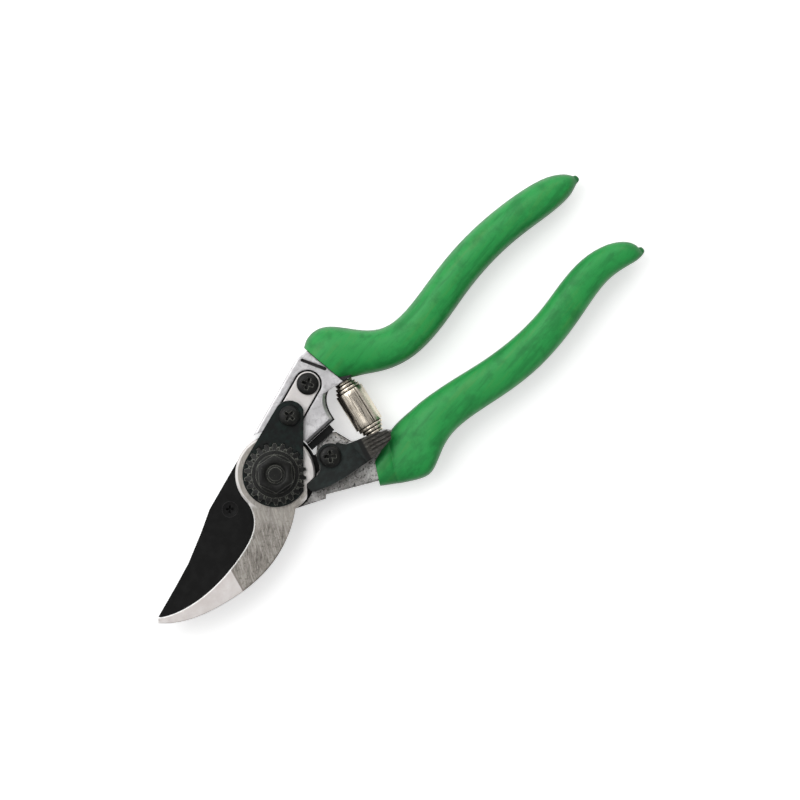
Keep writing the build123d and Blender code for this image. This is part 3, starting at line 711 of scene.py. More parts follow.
@dataclass(frozen=True)
class BearingBronze:
    """Plain bearing metal with turning marks round the pivot."""

    slot: str = "bush_bronze"
    body: Colour = (0.52, 0.36, 0.17)
    dull: Colour = (0.30, 0.21, 0.11)
    rings_out: float = 26.0
    rings_up: float = 14.0
    roughness: float = 0.34
    unevenness: float = 0.1
    depth: float = 0.01

    def make(self) -> Material:
        """Makes the material.

        Returns:
            The material.
        """
        paint = Paint(self.slot)
        x, y, z = paint.axes()
        rings = ((x * x + y * y) ** 0.5 * self.rings_out + z * self.rings_up).maths("SINE")
        cloud = paint.noise(Noise(0.6, 3.0, 0.6))
        return paint.surface(
            Metallic=1.0,
            Base_Color=paint.layered(self.body, (cloud, Band(0.4, 0.7), self.dull)),
            Roughness=self.roughness + cloud * self.unevenness,
            Normal=paint.bump(rings, self.depth),
        )


FINISHES = (
    DippedVinyl(),
    GroundSteel(),
    NickelPlate(),
    WornCatch(),
    BearingBronze(),
    # In the black coats, the lighter edges are partly wear and partly painted highlight, and the hollow reach sets
    # painted shade in recesses.
    BlackCoat("blade_coating", linear(21, 21, 21), linear(27, 27, 27), wear_and_glint=linear(78, 78, 78), roughness=0.42,
              specular=0.08, grain=0.8, depth=0.015, edge=0.25, wear=0.1, edge_wear_and_glint=0.6, hollow_shade_reach=0.9),
    BlackCoat("black_oxide", linear(12, 12, 11), linear(22, 23, 20), wear_and_glint=linear(150, 152, 142), roughness=0.38,
              specular=0.24, grain=1.8, depth=0.05, edge=0.22, wear=0.45, edge_wear_and_glint=0.9, edge_reach=0.45,
              hollow_shade_reach=1.3),
    BlackCoat("black_plate", linear(16, 18, 18), linear(22, 35, 32), wear_and_glint=linear(84, 92, 90), roughness=0.46,
              specular=0.16, grain=1.2, depth=0.04, edge=0.5, wear=0.15, edge_wear_and_glint=0.5, hollow_shade_reach=1.0),
    BlackCoat("bumper_rubber", linear(16, 16, 16), linear(24, 24, 24), roughness=0.72, specular=0.15, grain=1.0,
              depth=0.06, edge=0.3, wear=0.1, edge_wear_and_glint=0.1),
    # In the forgings, everything below the given height is painted near-black as shade.
    ForgedAlloy("satin_forging", (0.60, 0.59, 0.60), (0.77, 0.76, 0.77), (0.36, 0.35, 0.36), grain=0.8, specks=0.45,
                depth=0.06, roughness=0.40, shaded_below=13.75, edge=0.7),
    ForgedAlloy("rough_forging", (0.27, 0.262, 0.25), (0.58, 0.57, 0.56), (0.055, 0.053, 0.05), grain=0.95,
                specks=1.0, depth=0.20, roughness=0.52, shaded_below=9.55, edge=0.6),
)


class Wardrobe:
    """Finished materials by record slot."""

    def __init__(self) -> None:
        """Makes every finish once."""
        self.by_slot = {finish.slot: finish.make() for finish in FINISHES}

    def dress(self, piece: Piece, slot: str) -> None:
        """Puts the slot's material on all of a piece."""
        piece.data.materials.clear()
        piece.data.materials.append(self.by_slot[slot])

    def dress_frame(self) -> None:
        """Assigns the finished materials to the nodes of the frame."""
        for part in frame["record"]["subparts"]:
            for slot in frame["nodes"][part["node"]].material_slots:
                slot.material = self.by_slot[part["material_slot"]]
            LOG.info("dressed %s in %s", part["node"], part["material_slot"])


# ---------------------------------------------------------------- bench work


@dataclass(frozen=True)
class Edging:
    """Rounding of a piece's edges, with the least turns in degrees of an edge that is rounded and of a crease."""

    width: float
    angle: float
    crease: float
    segments: int = 2


class Bench:
    """Mesh operators on the one piece that is being made."""

    @staticmethod
    def clear() -> None:
        """Leaves edit mode and deselects everything."""
        if bpy.context.mode != "OBJECT":
            bpy.ops.object.mode_set(mode="OBJECT")
        bpy.ops.object.select_all(action="DESELECT")

    @staticmethod
    def take(*pieces: Piece) -> None:
        """Selects some pieces alone and makes the first of them active.

        Args:
            pieces: the pieces.
        """
        Bench.clear()
        for piece in pieces:
            piece.select_set(True)
        bpy.context.view_layer.objects.active = pieces[0]

    @staticmethod
    def place(piece: Piece, matrix: Matrix) -> None:
        """Moves a piece and applies its place to its mesh.

        Args:
            piece: the piece.
            matrix: its new place.
        """
        Bench.take(piece)
        piece.matrix_world = matrix
        bpy.ops.object.transform_apply(location=True, rotation=True, scale=True)

    @staticmethod
    def add(name: str, primitive: Callable[..., Any], matrix: Matrix = Matrix(), **settings: Any) -> Piece:
        """Starts a piece from a primitive.

        Args:
            name: name of the piece and its mesh.
            primitive: the operator that adds it.
            matrix: how it is then stretched, turned and moved.
            settings: the operator's own settings.

        Returns:
            The new piece, with its place in its mesh.
        """
        Bench.clear()
        primitive(**settings)
        piece = bpy.context.object
        piece.name = name
        piece.data.name = name
        Bench.place(piece, matrix @ piece.matrix_world)
        return piece

    @staticmethod
    def edit(piece: Piece) -> None:
        """Opens a piece in edit mode with nothing selected.

        Args:
            piece: the piece.
        """
        Bench.take(piece)
        bpy.ops.object.mode_set(mode="EDIT")
        bpy.ops.mesh.select_mode(type="VERT")
        bpy.ops.mesh.select_all(action="DESELECT")

    @staticmethod
    def pick(piece: Piece, kind: str, test: Callable[[Any], bool]) -> None:
        """Selects only what passes a test.

        Args:
            piece: the piece in edit mode.
            kind: "verts" or "faces".
            test: takes one element and says whether to select it.
        """
        bpy.ops.mesh.select_all(action="DESELECT")
        mesh = bmesh.from_edit_mesh(piece.data)
        for element in [element for element in getattr(mesh, kind) if test(element)]:
            element.select_set(True)
        mesh.select_flush_mode()
        bmesh.update_edit_mesh(piece.data)

    @staticmethod
    def swing(angle: float, centre: Triple) -> None:
        """Turns what is selected about an upright axis through a centre."""
        bpy.ops.transform.rotate(value=angle, orient_axis="Z", orient_type="GLOBAL", center_override=centre)

    @staticmethod
    def stretch(share: Triple, centre: Triple) -> None:
        """Scales what is selected from a centre."""
        bpy.ops.transform.resize(value=share, orient_type="GLOBAL", center_override=centre)

    @staticmethod
    def face_outwards() -> None:
        """Turns every face of the open mesh outwards, and leaves edit mode."""
        bpy.ops.mesh.select_all(action="SELECT")
        bpy.ops.mesh.normals_make_consistent(inside=False)
        Bench.clear()

    @staticmethod
    def modify(piece: Piece, kind: str, **settings: Any) -> None:
        """Adds one modifier and applies it.

        Args:
            piece: the piece.
            kind: the modifier's type.
            settings: its settings.
        """
        Bench.take(piece)
        modifier = piece.modifiers.new(kind.title(), kind)
        for name, value in settings.items():
            setattr(modifier, name, value)
        bpy.ops.object.modifier_apply(modifier=modifier.name)

    @staticmethod
    def cut(piece: Piece, tool: Piece) -> None:
        """Cuts a tool's shape out of a piece, and puts the tool away."""
        Bench.modify(piece, "BOOLEAN", operation="DIFFERENCE", object=tool, solver="EXACT")
        bpy.data.objects.remove(tool)

    @staticmethod
    def round_edges(piece: Piece, edging: Edging) -> None:
        """Rounds a piece's sharp edges."""
        Bench.modify(piece, "BEVEL", width=edging.width * MM, segments=edging.segments, limit_method="ANGLE",
                     angle_limit=radians(edging.angle), use_clamp_overlap=False)

    @staticmethod
    def shade(piece: Piece, angle: float) -> None:
        """Shades a piece smooth across edges that turn by less than an angle in degrees."""
        Bench.take(piece)
        bpy.ops.object.shade_smooth_by_angle(angle=radians(angle))

    @staticmethod
    def join(pieces: Sequence[Piece]) -> Piece:
        """Joins pieces into the first.

        Args:
            pieces: the pieces.

        Returns:
            The first piece, with the others in it.
        """
        Bench.take(*pieces)
        bpy.ops.object.join()
        return pieces[0]

    @staticmethod
    def lathe(name: str, profile: Sequence[Point], steps: int = 48) -> Piece:
        """Turns a profile about Z.

        Args:
            name: name of the piece.
            profile: radius and height of each point in millimetres, up the outside, with any bore after it.
            steps: divisions round the axis.

        Returns:
            The turned piece.
        """
        radius, height = profile[0]
        start = (radius * MM, 0.0, height * MM)
        piece = Bench.add(name, bpy.ops.mesh.primitive_plane_add, size=MM, location=start)
        Bench.edit(piece)
        bpy.ops.mesh.select_all(action="SELECT")
        bpy.ops.mesh.merge(type="CENTER")
        for here, there in zip(profile, profile[1:]):
            step = ((there[0] - here[0]) * MM, 0.0, (there[1] - here[1]) * MM)
            bpy.ops.mesh.extrude_vertices_move(TRANSFORM_OT_translate={"value": step})
        bpy.ops.mesh.select_all(action="SELECT")
        bpy.ops.mesh.spin(steps=steps, angle=2 * pi, center=(0, 0, 0), axis=(0, 0, 1))
        bpy.ops.mesh.select_all(action="SELECT")
        bpy.ops.mesh.remove_doubles(threshold=SEAM * MM)
        Bench.face_outwards()
        return piece

    @staticmethod
    def finish(piece: Piece, slot: str, body: Handle, nodes: Sequence[str], wardrobe: Wardrobe) -> None:
        """Dresses a piece, lets it ride on its body and shows it for its nodes.

        Args:
            piece: the finished piece.
            slot: the material slot of its finish.
            body: the body that it rides on.
            nodes: the nodes that it stands for.
            wardrobe: the finished materials.
        """
        wardrobe.dress(piece, slot)
        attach(piece, body.value)
        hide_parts(*nodes)
        LOG.info("made %s, riding on %s, for %s", piece.name, body.value, ", ".join(nodes))


# ---------------------------------------------------------------- pieces


@dataclass(frozen=True)
class Station:
    """One section of a grip: outer corner, inner corner, back height and front height."""

    outer: Point
    inner: Point
    back: float
    front: float

    @property
    def centre(self) -> Vector:
        """Middle of the section, in metres."""
        middle = (Vector(self.outer) + Vector(self.inner)) / 2
        return Vector((middle.x, middle.y, (self.back + self.front) / 2)) * MM

    @property
    def width(self) -> float:
        """Width across the grip, in metres."""
        return hypot(self.outer[0] - self.inner[0], self.outer[1] - self.inner[1]) * MM

    @property
    def height(self) -> float:
        """Height from back to front, in metres."""
        return (self.front - self.back) * MM

    @property
    def lean(self) -> float:
        """Turn of the section's width from X, in radians."""
        return atan2(self.outer[1] - self.inner[1], self.outer[0] - self.inner[0])

    def towards(self, other: "Station", share: float) -> "Station":
        """Section part of the way to another one.

        Args:
            other: the other section.
            share: how far towards it, of 0 to 1.

        Returns:
            The section between.
        """
        outer = Vector(self.outer).lerp(Vector(other.outer), share)
        inner = Vector(self.inner).lerp(Vector(other.inner), share)
        back = self.back + (other.back - self.back) * share
        return Station(tuple(outer), tuple(inner), back, self.front + (other.front - self.front) * share)


@dataclass(frozen=True)
class Grip:
    """Dipped grip, drawn out from its mouth section by section and closed in a drip.

    The corner is a share of the mouth's width. A section of the drip is its reach and its size, as shares of
    the drip's radius.
    """

    name: str
    body: Handle
    stations: Sequence[Station]
    drip: Triple
    drip_radius: float = 1.2
    drip_sections: tuple[Point, ...] = ((0.0, 1.15), (0.55, 1.0), (0.95, 0.55))
    corner: float = 0.36
    corner_steps: int = 3
    rim: float = 0.5
    rim_hold: float = 0.16
    rim_find: float = 0.4
    rounding: int = 2
    crease: float = 60.0

    def build(self, wardrobe: Wardrobe) -> None:
        """Makes the grip.

        Args:
            wardrobe: the finished materials.
        """
        mouth, second = self.stations[:2]
        stood = Matrix.Rotation(mouth.lean, 4, "Z") @ Matrix.Rotation(pi / 2, 4, "X")
        sized = Matrix.Diagonal((mouth.width, mouth.height, 1.0, 1.0))
        matrix = Matrix.Translation(mouth.centre) @ stood @ sized
        piece = Bench.add(self.name, bpy.ops.mesh.primitive_plane_add, matrix, size=1.0)
        Bench.edit(piece)
        bpy.ops.mesh.select_all(action="SELECT")
        bpy.ops.mesh.bevel(offset=self.corner * mouth.width, affect="VERTICES", segments=self.corner_steps)
        bpy.ops.mesh.select_all(action="SELECT")
        run = [mouth, mouth.towards(second, self.rim_hold), *self.stations[1:]]
        run += [self.drip_section(*section) for section in self.drip_sections]
        for here, there in zip(run, run[1:]):
            self.draw_out(here, there)
        reach = self.rim_find * MM
        Bench.pick(piece, "faces", lambda face: (face.calc_center_median() - mouth.centre).length < reach)
        bpy.ops.mesh.inset(thickness=self.rim * MM)  # keeps the mouth's edge crisp when it is rounded
        Bench.face_outwards()
        Bench.modify(piece, "SUBSURF", levels=self.rounding, render_levels=self.rounding)
        Bench.shade(piece, self.crease)
        Bench.finish(piece, "green_grip", self.body, [self.name.replace("_skin", "")], wardrobe)

    def drip_section(self, reach: float, share: float) -> Station:
        """Section of the drip, on the same hand as the grip's last section.

        Args:
            reach: how far out it lies, as a share of the drip's radius.
            share: its size, as a share of the drip's radius.

        Returns:
            The section.
        """
        x, y, z = self.drip
        end = self.stations[-1]
        half = share * self.drip_radius
        side = half if end.outer[1] > end.inner[1] else -half
        out = x + reach * self.drip_radius
        return Station((out, y + side), (out, y - side), z - half, z + half)

    @staticmethod
    def draw_out(here: Station, there: Station) -> None:
        """Extrudes the open end from one station to the next.

        Args:
            here: the section where the end is.
            there: the section that it goes to.
        """
        centre = tuple(there.centre)
        step = {"value": tuple(there.centre - here.centre), "orient_type": "GLOBAL"}
        bpy.ops.mesh.extrude_region_move(TRANSFORM_OT_translate=step)
        Bench.swing(here.lean, centre)
        Bench.stretch((there.width / here.width, 1.0, there.height / here.height), centre)
        Bench.swing(-there.lean, centre)


@dataclass(frozen=True)
class PanScrew:
    """Pan head screw with a cross recess.

    The dome's points and the cross's arms, in length and width, are shares of the head's sizes.
    """

    name: str
    body: Handle
    node: str
    at: Point
    seat: float
    head_radius: float
    head_height: float
    shank_radius: float
    shank_length: float
    cross_turn: float = 0.0
    recess: float = 1.3
    slot: str = "black_oxide"
    tip: float = 0.4
    under_head: Point = (0.25, 0.22)
    dome: tuple[Point, ...] = (
        (1.0, 0.46), (0.965, 0.66), (0.88, 0.83), (0.74, 0.93), (0.5, 0.985), (0.25, 1.0), (0.0, 1.0),
    )
    arm: Point = (1.28, 0.34)
    arm_taper: float = 0.55
    arm_over: float = 0.6
    edging: Edging = Edging(0.08, 40.0, 40.0)

    def shank(self) -> list[Point]:
        """Outline of the shank from its tip up, with a small chamfer."""
        radius, length = self.shank_radius, self.shank_length
        return [(0.0, -length), (radius - self.tip, -length), (radius, -length + self.tip)]

    def profile(self) -> list[Point]:
        """Outline of the whole screw above and below its seat.

        Returns:
            Radius and height of each point.
        """
        radius, height = self.head_radius, self.head_height
        inset, lift = self.under_head
        under = [(self.shank_radius, 0.0), (radius - inset, 0.0), (radius, lift)]
        return [*self.shank(), *under, *((out * radius, up * height) for out, up in self.dome)]

    def build(self, wardrobe: Wardrobe) -> None:
        """Makes the screw.

        Args:
            wardrobe: the finished materials.
        """
        piece = Bench.lathe(self.name, self.profile())
        for turn in (0.0, pi / 2):
            Bench.cut(piece, self.cutter(turn))
        seated = Matrix.Translation(Vector((*self.at, self.seat)) * MM)
        Bench.place(piece, seated @ Matrix.Rotation(radians(self.cross_turn), 4, "Z"))
        Bench.round_edges(piece, self.edging)
        Bench.shade(piece, self.edging.crease)
        Bench.finish(piece, self.slot, self.body, [self.node], wardrobe)

    def cutter(self, turn: float) -> Piece:
        """Tapered bar that cuts one arm of the cross.

        Args:
            turn: the arm's turn, in radians.

        Returns:
            The bar.
        """
        length, width = (share * self.head_radius * MM for share in self.arm)
        floor = self.head_height - self.recess
        middle = Matrix.Translation((0, 0, (self.head_height - self.recess / 2 + self.arm_over / 2) * MM))
        sized = Matrix.Diagonal((length, width, (self.recess + self.arm_over) * MM, 1.0))
        matrix = middle @ Matrix.Rotation(turn, 4, "Z") @ sized
        tool = Bench.add(self.name + "_cutter", bpy.ops.mesh.primitive_cube_add, matrix, size=1.0)
        Bench.edit(tool)
        Bench.pick(tool, "faces", lambda face: face.normal.z < -FACING)
        Bench.stretch((self.arm_taper, self.arm_taper, 1.0), (0.0, 0.0, floor * MM))
        Bench.clear()
        return tool


@dataclass(frozen=True)
class FlushScrew(PanScrew):
    """Countersunk screw, flush with the face it is seated from, with a thin raised land round its recess."""

    land: float = 0.45
    dish: float = 0.14
    rim: Point = (0.06, 0.05)

    def profile(self) -> list[Point]:
        """Outline of the cone under the flush head, its land and the shallow dish inside it.

        Returns:
            Radius and height of each point.
        """
        radius, inside = self.head_radius, self.head_radius - self.land
        inset, drop = self.rim
        cone = [(self.shank_radius, self.shank_radius - radius), (radius, -drop), (radius - inset, 0.0)]
        return [*self.shank(), *cone, (inside, 0.0), (inside - self.dish, -self.dish), (0.0, -self.dish)]


@dataclass(frozen=True)
class PivotStack:
    """Toothed adjuster, with a turned face and raised pips, and the flanged pivot nut over it."""

    teeth: int = 22
    tooth_corners: int = 6
    tooth_share: Point = (0.3, 0.7)
    tip: float = 11.0
    tip_ease: float = 0.05
    root: float = 9.75
    ring_back: float = 15.65
    ring_front: float = 17.25
    face_drop: float = 0.2
    face_floor: float = 0.2
    face_edge: float = 0.1
    face_radius: float = 8.3
    pip_reach: float = 8.95
    pip_radius: float = 0.42
    pip_sink: float = 0.12
    pip_segments: int = 10
    pip_rings: int = 6
    flange_front: float = 18.25
    flange_radius: float = 7.1
    flange_edge: tuple[Point, ...] = ((0.0, 0.45), (0.25, 0.1), (0.7, 0.0))
    nut_front: float = 22.25
    flats: float = 11.6
    hexagon_turn: float = 21.6
    chamfer: float = 0.4
    thread: float = 3.05
    drill_start: float = 2.0
    bore_ring: float = 3.9
    bore_flare: float = 0.35
    bore_depth: float = 0.4
    bore_over: float = 0.3
    steps: int = 64
    ring_edging: Edging = Edging(0.09, 35.0, 32.0)
    nut_edging: Edging = Edging(0.06, 25.0, 30.0, 1)

    def build(self, wardrobe: Wardrobe) -> None:
        """Makes both pieces."""
        self.adjuster(wardrobe)
        self.nut(wardrobe)

    def on_tooth(self, corner: Any) -> bool:
        """Whether a corner of the drum lies in the middle of a tooth's pitch."""
        low, high = self.tooth_share
        return low < (atan2(corner.co.y, corner.co.x) / (2 * pi / self.teeth) + 0.5) % 1.0 < high

    def adjuster(self, wardrobe: Wardrobe) -> None:
        """Makes the toothed ring: a drum whose rim is drawn out into tapered teeth.

        Args:
            wardrobe: the finished materials.
        """
        top = self.ring_front - self.face_drop
        middle = (0, 0, (top + self.ring_back) / 2 * MM)
        drum = Bench.add(
            "adjuster_teeth", bpy.ops.mesh.primitive_cylinder_add, vertices=self.teeth * self.tooth_corners,
            radius=self.root * MM, depth=(top - self.ring_back) * MM, location=middle,
        )
        Bench.edit(drum)
        Bench.pick(drum, "verts", self.on_tooth)
        share = (self.tip - self.tip_ease) / self.root
        Bench.stretch((share, share, 1.0), middle)
        floor = self.ring_back + self.face_floor
        face = Bench.lathe("adjuster_face", [
            (self.thread, floor), (self.face_radius, floor), (self.face_radius, self.ring_front - self.face_edge),
            (self.face_radius - self.face_edge, self.ring_front), (self.thread, self.ring_front),
            (self.thread, floor),
        ], self.steps)
        piece = Bench.join([drum, face, self.pips()])
        Bench.round_edges(piece, self.ring_edging)
        Bench.shade(piece, self.ring_edging.crease)
        Bench.finish(piece, "black_oxide", Handle.UPPER, ["adjuster_ring"], wardrobe)

    def pips(self) -> Piece:
        """Raised marks behind the gaps between teeth, one made and the rest copied round.

        Returns:
            The marks, joined.
        """
        first = Bench.add(
            "pip", bpy.ops.mesh.primitive_uv_sphere_add, segments=self.pip_segments, ring_count=self.pip_rings,
            radius=self.pip_radius * MM, location=(self.pip_reach * MM, 0.0, (self.ring_front - self.pip_sink) * MM),
        )
        marks = [first]
        for tooth in range(1, self.teeth):
            copy = first.copy()
            copy.data = first.data.copy()
            bpy.context.scene.collection.objects.link(copy)
            Bench.place(copy, Matrix.Rotation(tooth * 2 * pi / self.teeth, 4, "Z"))
            marks.append(copy)
        whole = Bench.join(marks)
        Bench.place(whole, Matrix.Rotation(pi / self.teeth, 4, "Z"))
        return whole

    def nut(self, wardrobe: Wardrobe) -> None:
        """Makes the nut: a bored and chamfered hexagon on a flange.

        Args:
            wardrobe: the finished materials.
        """
        back, front, shoulder = self.ring_front, self.nut_front, self.nut_front - self.chamfer
        hexagon = Bench.add(
            "pivot_hex_nut", bpy.ops.mesh.primitive_cylinder_add, Matrix.Rotation(radians(self.hexagon_turn), 4, "Z"),
            vertices=6, radius=self.flats / 2 / cos(pi / 6) * MM, depth=(shoulder - back) * MM,
            location=(0, 0, (shoulder + back) / 2 * MM),
        )
        Bench.edit(hexagon)
        Bench.pick(hexagon, "faces", lambda face: face.normal.z > FACING)
        bpy.ops.mesh.inset(thickness=self.chamfer * MM)
        bpy.ops.transform.translate(value=(0, 0, self.chamfer * MM))
        low, sunk, over = back - self.drill_start, front - self.bore_depth, front + self.bore_over
        Bench.cut(hexagon, Bench.lathe("drill", [
            (0.0, low), (self.thread, low), (self.thread, sunk), (self.bore_ring - self.bore_flare, sunk),
            (self.bore_ring + self.bore_flare, over), (0.0, over),
        ], self.steps))
        Bench.round_edges(hexagon, self.nut_edging)
        edge = [(self.flange_radius - inset, self.flange_front - drop) for inset, drop in self.flange_edge]
        flange = Bench.lathe("flange", [
            (self.thread, back), (self.flange_radius, back), *edge, (self.thread, self.flange_front),
            (self.thread, back),
        ], self.steps)
        piece = Bench.join([hexagon, flange])
        Bench.shade(piece, self.nut_edging.crease)
        Bench.finish(piece, "black_oxide", Handle.UPPER, ["pivot_nut"], wardrobe)


@dataclass(frozen=True)
class VoluteSpring:
    """Barrel of a volute spring, turned with a step for each inner turn."""

    centre: Triple = (37.4, -2.6, 7.4)
    lean: float = 79.4
    length: float = 21.4
    radius: float = 5.2
    body_length: float = 13.8
    bore: float = 2.3
    step_radii: tuple[float, ...] = (4.6, 3.95, 3.25)
    groove: float = 0.35
    seam_bearing: float = 205.0
    seam_width: float = 0.4
    seam_depth: float = 0.45
    rows: int = 8
    steps: int = 72
    edging: Edging = Edging(0.12, 40.0, 35.0)

    def build(self, wardrobe: Wardrobe) -> None:
        """Makes the spring.

        Args:
            wardrobe: the finished materials.
        """
        piece = Bench.lathe("volute_spring", self.profile(), self.steps)
        Bench.cut(piece, self.strip_end())
        Bench.round_edges(piece, self.edging)
        middle, turn = Vector(self.centre) * MM, Matrix.Rotation(radians(self.lean), 4, "Z")
        Bench.place(piece, Matrix.Translation(middle) @ turn @ Matrix.Rotation(pi / 2, 4, "Y"))
        Bench.shade(piece, self.edging.crease)
        wardrobe.dress(piece, "spring_nickel")
        run = Vector((cos(radians(self.lean)), sin(radians(self.lean)), 0.0)) * (self.length / 2 * MM)
        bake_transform(piece)
        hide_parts("return_spring")
        LOG.info("made %s, bending between the handles", piece.name)

    def profile(self) -> list[Point]:
        """Outside of the barrel, step by step, and the bore inside it.

        Returns:
            Radius and height of each point.
        """
        body, reach = self.body_length / 2, self.length / 2
        turn = (reach - body) / len(self.step_radii)
        side = [(self.radius, body * (2 * row / self.rows - 1)) for row in range(self.rows + 1)]
        steps = []
        for place, radius in enumerate(self.step_radii):
            low, high = body + place * turn, body + (place + 1) * turn
            steps += [(radius - self.groove, low), (radius, low + self.groove), (radius, high)]
        steps.append((self.bore, reach))
        foot = [(radius, -height) for radius, height in reversed(steps)]
        bore = [(self.bore, reach - 2 * reach * row / self.rows) for row in range(1, self.rows + 1)]
        return [*foot, *side, *steps, *bore]

    def strip_end(self) -> Piece:
        """Bar that cuts the line where the strip's outer end lies on the barrel.

        Returns:
            The bar.
        """
        turned = Matrix.Rotation(radians(self.seam_bearing), 4, "Z") @ Matrix.Translation((self.radius * MM, 0, 0))
        sized = Matrix.Diagonal((2 * self.seam_depth * MM, self.seam_width * MM, self.body_length * 2 * MM, 1))
        return Bench.add("strip_end", bpy.ops.mesh.primitive_cube_add, turned @ sized, size=1.0)


UPPER_STATIONS = [Station(*row) for row in (
    ((37.2, 25.9), (39.5, 9.0), 0.3, 16.4),
    ((40.0, 27.7), (41.2, 7.8), 0.1, 16.7),
    ((44.6, 28.15), (43.8, 6.2), 0.0, 16.9),
    ((49.2, 25.7), (46.8, 4.7), 0.0, 17.0),
    ((53.8, 19.8), (50.8, 2.0), 0.0, 17.0),
    ((59.2, 13.4), (56.8, -1.0), 0.0, 17.0),
    ((66.6, 10.7), (66.0, -2.9), 0.0, 17.0),
    ((78.0, 12.1), (79.0, -1.4), 0.0, 17.0),
    ((91.0, 15.1), (92.0, 1.9), 0.0, 17.0),
    ((105.0, 16.8), (105.0, 3.8), 0.0, 17.0),
    ((119.0, 16.6), (118.0, 4.0), 0.0, 16.8),
    ((132.0, 15.1), (130.0, 2.5), 0.3, 16.4),
    ((140.8, 12.9), (138.2, 2.0), 0.9, 15.4),
    ((145.9, 9.3), (143.2, 2.5), 2.2, 13.6),
    ((147.3, 6.9), (146.2, 4.0), 5.2, 10.8),
)]

LOWER_STATIONS = [Station(*row) for row in (
    ((24.3, -27.8), (28.9, -19.9), 0.3, 12.7),
    ((27.2, -29.8), (35.2, -17.9), 0.1, 12.8),
    ((28.6, -30.7), (37.4, -17.0), 0.05, 12.75),
    ((29.3, -31.2), (38.1, -16.7), 0.1, 12.1),
    ((30.1, -31.8), (38.9, -16.4), 0.05, 12.9),
    ((31.8, -32.9), (41.0, -15.6), 0.0, 13.2),
    ((37.8, -36.4), (45.6, -15.3), 0.0, 15.0),
    ((41.6, -36.72), (50.0, -15.5), 0.0, 16.4),
    ((47.2, -33.9), (54.0, -15.5), 0.0, 17.0),
    ((54.6, -30.6), (59.2, -16.0), 0.0, 17.0),
    ((66.0, -31.4), (68.0, -17.3), 0.0, 17.0),
    ((80.0, -34.1), (81.0, -20.0), 0.0, 17.0),
    ((94.0, -35.1), (94.0, -21.2), 0.0, 17.0),
    ((109.0, -33.3), (107.0, -20.6), 0.0, 17.0),
    ((121.0, -30.3), (118.5, -17.8), 0.0, 16.8),
    ((131.0, -28.0), (130.0, -16.3), 0.3, 16.4),
    ((138.6, -28.9), (140.8, -18.6), 0.9, 15.4),
    ((143.8, -30.3), (146.6, -23.2), 2.2, 13.6),
    ((146.6, -30.1), (147.6, -26.8), 5.2, 10.8),
)]


@dataclass
class Pruner:
    """The whole tool: the pieces that stand for nodes of the frame."""

    wardrobe: Wardrobe = field(default_factory=Wardrobe)

    def build(self) -> None:
        """Makes every piece in order."""
        self.wardrobe.dress_frame()
        for piece in (
            Grip("upper_grip_skin", Handle.UPPER, UPPER_STATIONS, (147.24, 5.4, 8.0)),
            Grip("lower_grip_skin", Handle.LOWER, LOWER_STATIONS, (147.24, -28.5, 8.0)),
            PivotStack(),
            VoluteSpring(),
            *self.screws(),
        ):
            piece.build(self.wardrobe)

    @staticmethod
    def screws() -> list[PanScrew]:
        """The three pan head screws and the blade's flush one."""
        return [
            PanScrew("tang_pan_screw", Handle.UPPER, "tang_screw", (29.7, 15.7), seat=14.65, head_radius=3.9,
                     head_height=2.1, shank_radius=2.0, shank_length=9.0, cross_turn=30.0),
            PanScrew("plate_pan_screw", Handle.UPPER, "plate_screw", (17.431, 11.714), seat=17.25, head_radius=3.6,
                     head_height=2.1, shank_radius=2.0, shank_length=11.4, cross_turn=10.0),
            PanScrew("catch_pan_screw", Handle.LOWER, "latch_screw", (18.4, -8.4), seat=14.45, head_radius=3.9,
                     head_height=2.1, shank_radius=2.35, shank_length=11.9, cross_turn=52.0),
            FlushScrew("blade_flush_screw", Handle.LOWER, "blade_screw", (-20.0, 1.6), seat=10.6, head_radius=2.8,
                       head_height=0.0, shank_radius=1.5, shank_length=6.4, cross_turn=-42.4, recess=1.0,
                       slot="blade_coating"),
        ]


# ---------------------------------------------------------------- studio


@dataclass(frozen=True)
class Lamp:
    """Square soft lamp: its place and its side in metres, and its power in watts."""

    name: str
    place: Triple
    side: float
    watts: float


@dataclass(frozen=True)
class Card:
    """Dark card: its place and its two sides in metres, and its turn in degrees."""

    name: str
    place: Triple
    sides: Point
    turn: float


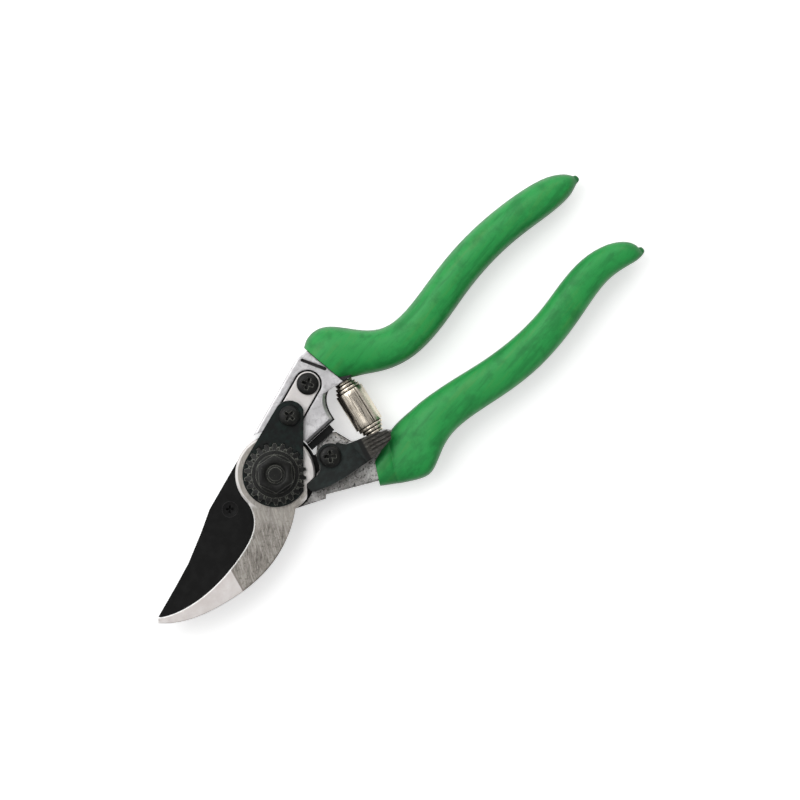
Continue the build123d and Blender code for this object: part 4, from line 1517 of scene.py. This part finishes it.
@dataclass(frozen=True)
class Studio:
    """Pale floor, soft lamps, dark cards for the metal to mirror, and the camera.

    The air's reach is along a direction of length 1, and the lamps' aim is in metres.
    """

    turn: float = -42.4
    aim: Point = (49.77, -10.27)
    view_width: float = 280.0
    camera_height: float = 900.0
    air_reach: Point = (-0.75, 0.55)
    air_light: Point = (0.16, 0.85)
    floor_side: float = 6000.0
    floor_middle: Triple = (50.0, 0.0, -0.3)
    floor_tone: Colour = (0.8, 0.8, 0.8)
    floor_glow: float = 0.5
    card_tone: Colour = (0.01, 0.01, 0.01)
    card_roughness: float = 0.9
    lamp_aim: Triple = (0.05, -0.01, 0.0)
    lamps: tuple[Lamp, ...] = (
        Lamp("key_lamp", (-0.15, 0.55, 0.9), 0.8, 5.0),
        Lamp("side_lamp", (0.7, 0.35, 0.55), 0.5, 1.3),
        Lamp("fill_lamp", (0.1, -0.8, 0.6), 0.7, 0.9),
    )
    cards: tuple[Card, ...] = (
        Card("dark_card_0", (0.10, 0.01, 0.42), (0.34, 0.07), -10.6),
        Card("dark_card_1", (-0.30, -0.10, 0.35), (0.10, 0.5), 20.0),
    )

    def build(self) -> None:
        """Sets up the studio."""
        self.world()
        self.floor()
        for lamp in self.lamps:
            self.light(lamp)
        for card in self.cards:
            self.hang(card)
        self.camera()
        bpy.context.scene.view_settings.view_transform = "Standard"

    @staticmethod
    def seen_by(paint: Paint, *rays: str) -> Signal:
        """Mask that is 1 for some kinds of ray and 0 for others.

        Args:
            paint: the material or world.
            rays: the kinds of ray.

        Returns:
            The mask.
        """
        sockets = paint.node("ShaderNodeLightPath", {}, {}).socket.node.outputs
        first, *others = (Signal(paint, sockets[f"Is {ray} Ray"]) for ray in rays)
        for other in others:
            first = first.maths("MAXIMUM", other)
        return first

    def world(self) -> None:
        """White to the camera, and elsewhere a soft fill that brightens from front to back."""
        paint = Paint("studio_air", bpy.data.worlds, "Generated")
        _, depth, _ = paint.split(paint.places)
        strength = depth.sweep(*self.air_reach, *self.air_light)
        fill = paint.node("ShaderNodeBackground", {}, {"Color": WHITE, "Strength": strength})
        backdrop = paint.node("ShaderNodeBackground", {}, {"Color": WHITE, "Strength": 1.0})
        seen = self.seen_by(paint, "Camera", "Transmission")
        both = paint.node("ShaderNodeMixShader", {}, {0: seen, 1: fill, 2: backdrop})
        bpy.context.scene.world = paint.close(both, "ShaderNodeOutputWorld")

    def floor(self) -> None:
        """Pale floor that keeps the tool's soft shadow."""
        middle = tuple(place * MM for place in self.floor_middle)
        side = self.floor_side * MM
        floor = Bench.add("studio_floor", bpy.ops.mesh.primitive_plane_add, size=side, location=middle)
        paint = Paint("studio_floor")
        seen = self.seen_by(paint, "Camera", "Glossy", "Transmission")
        matt = paint.node("ShaderNodeBsdfDiffuse", {}, {"Color": self.floor_tone})
        glow = paint.node("ShaderNodeEmission", {}, {"Color": WHITE, "Strength": seen * self.floor_glow})
        floor.data.materials.append(paint.close(paint.node("ShaderNodeAddShader", {}, {0: matt, 1: glow})))

    def light(self, lamp: Lamp) -> None:
        """Puts up a lamp that points at the tool.

        Args:
            lamp: its place, side and power.
        """
        data = bpy.data.lights.new(lamp.name, "AREA")
        data.energy = lamp.watts
        data.size = lamp.side
        stand = bpy.data.objects.new(lamp.name, data)
        bpy.context.scene.collection.objects.link(stand)
        stand.location = lamp.place
        way = Vector(self.lamp_aim) - Vector(lamp.place)
        stand.rotation_euler = way.to_track_quat("-Z", "Y").to_euler()

    def hang(self, card: Card) -> None:
        """Hangs a card that only the bright metal sees.

        Args:
            card: its place, sides and turn.
        """
        turned = Matrix.Translation(card.place) @ Matrix.Rotation(radians(card.turn), 4, "Z")
        sized = Matrix.Diagonal((*card.sides, 1.0, 1.0))
        sheet = Bench.add(card.name, bpy.ops.mesh.primitive_plane_add, turned @ sized, size=1.0)
        finish = Paint(card.name).surface(Roughness=self.card_roughness, Base_Color=self.card_tone)
        sheet.data.materials.append(finish)
        sheet.visible_camera = False
        sheet.visible_shadow = False
        sheet.visible_diffuse = False

    def camera(self) -> None:
        """Camera square above the tool, with the tool lying slantwise in its view."""
        data = bpy.data.cameras.new("studio_camera")
        data.type = "ORTHO"
        data.ortho_scale = self.view_width * MM
        camera = bpy.data.objects.new("studio_camera", data)
        bpy.context.scene.collection.objects.link(camera)
        camera.location = (self.aim[0] * MM, self.aim[1] * MM, self.camera_height * MM)
        camera.rotation_euler = (0.0, 0.0, radians(self.turn))
        bpy.context.scene.camera = camera


def main() -> None:
    """Builds the tool and the studio."""
    logging.basicConfig(level=logging.INFO, format="%(name)s: %(message)s")
    Pruner().build()
    Studio().build()


if __name__ == "__main__":
    main()
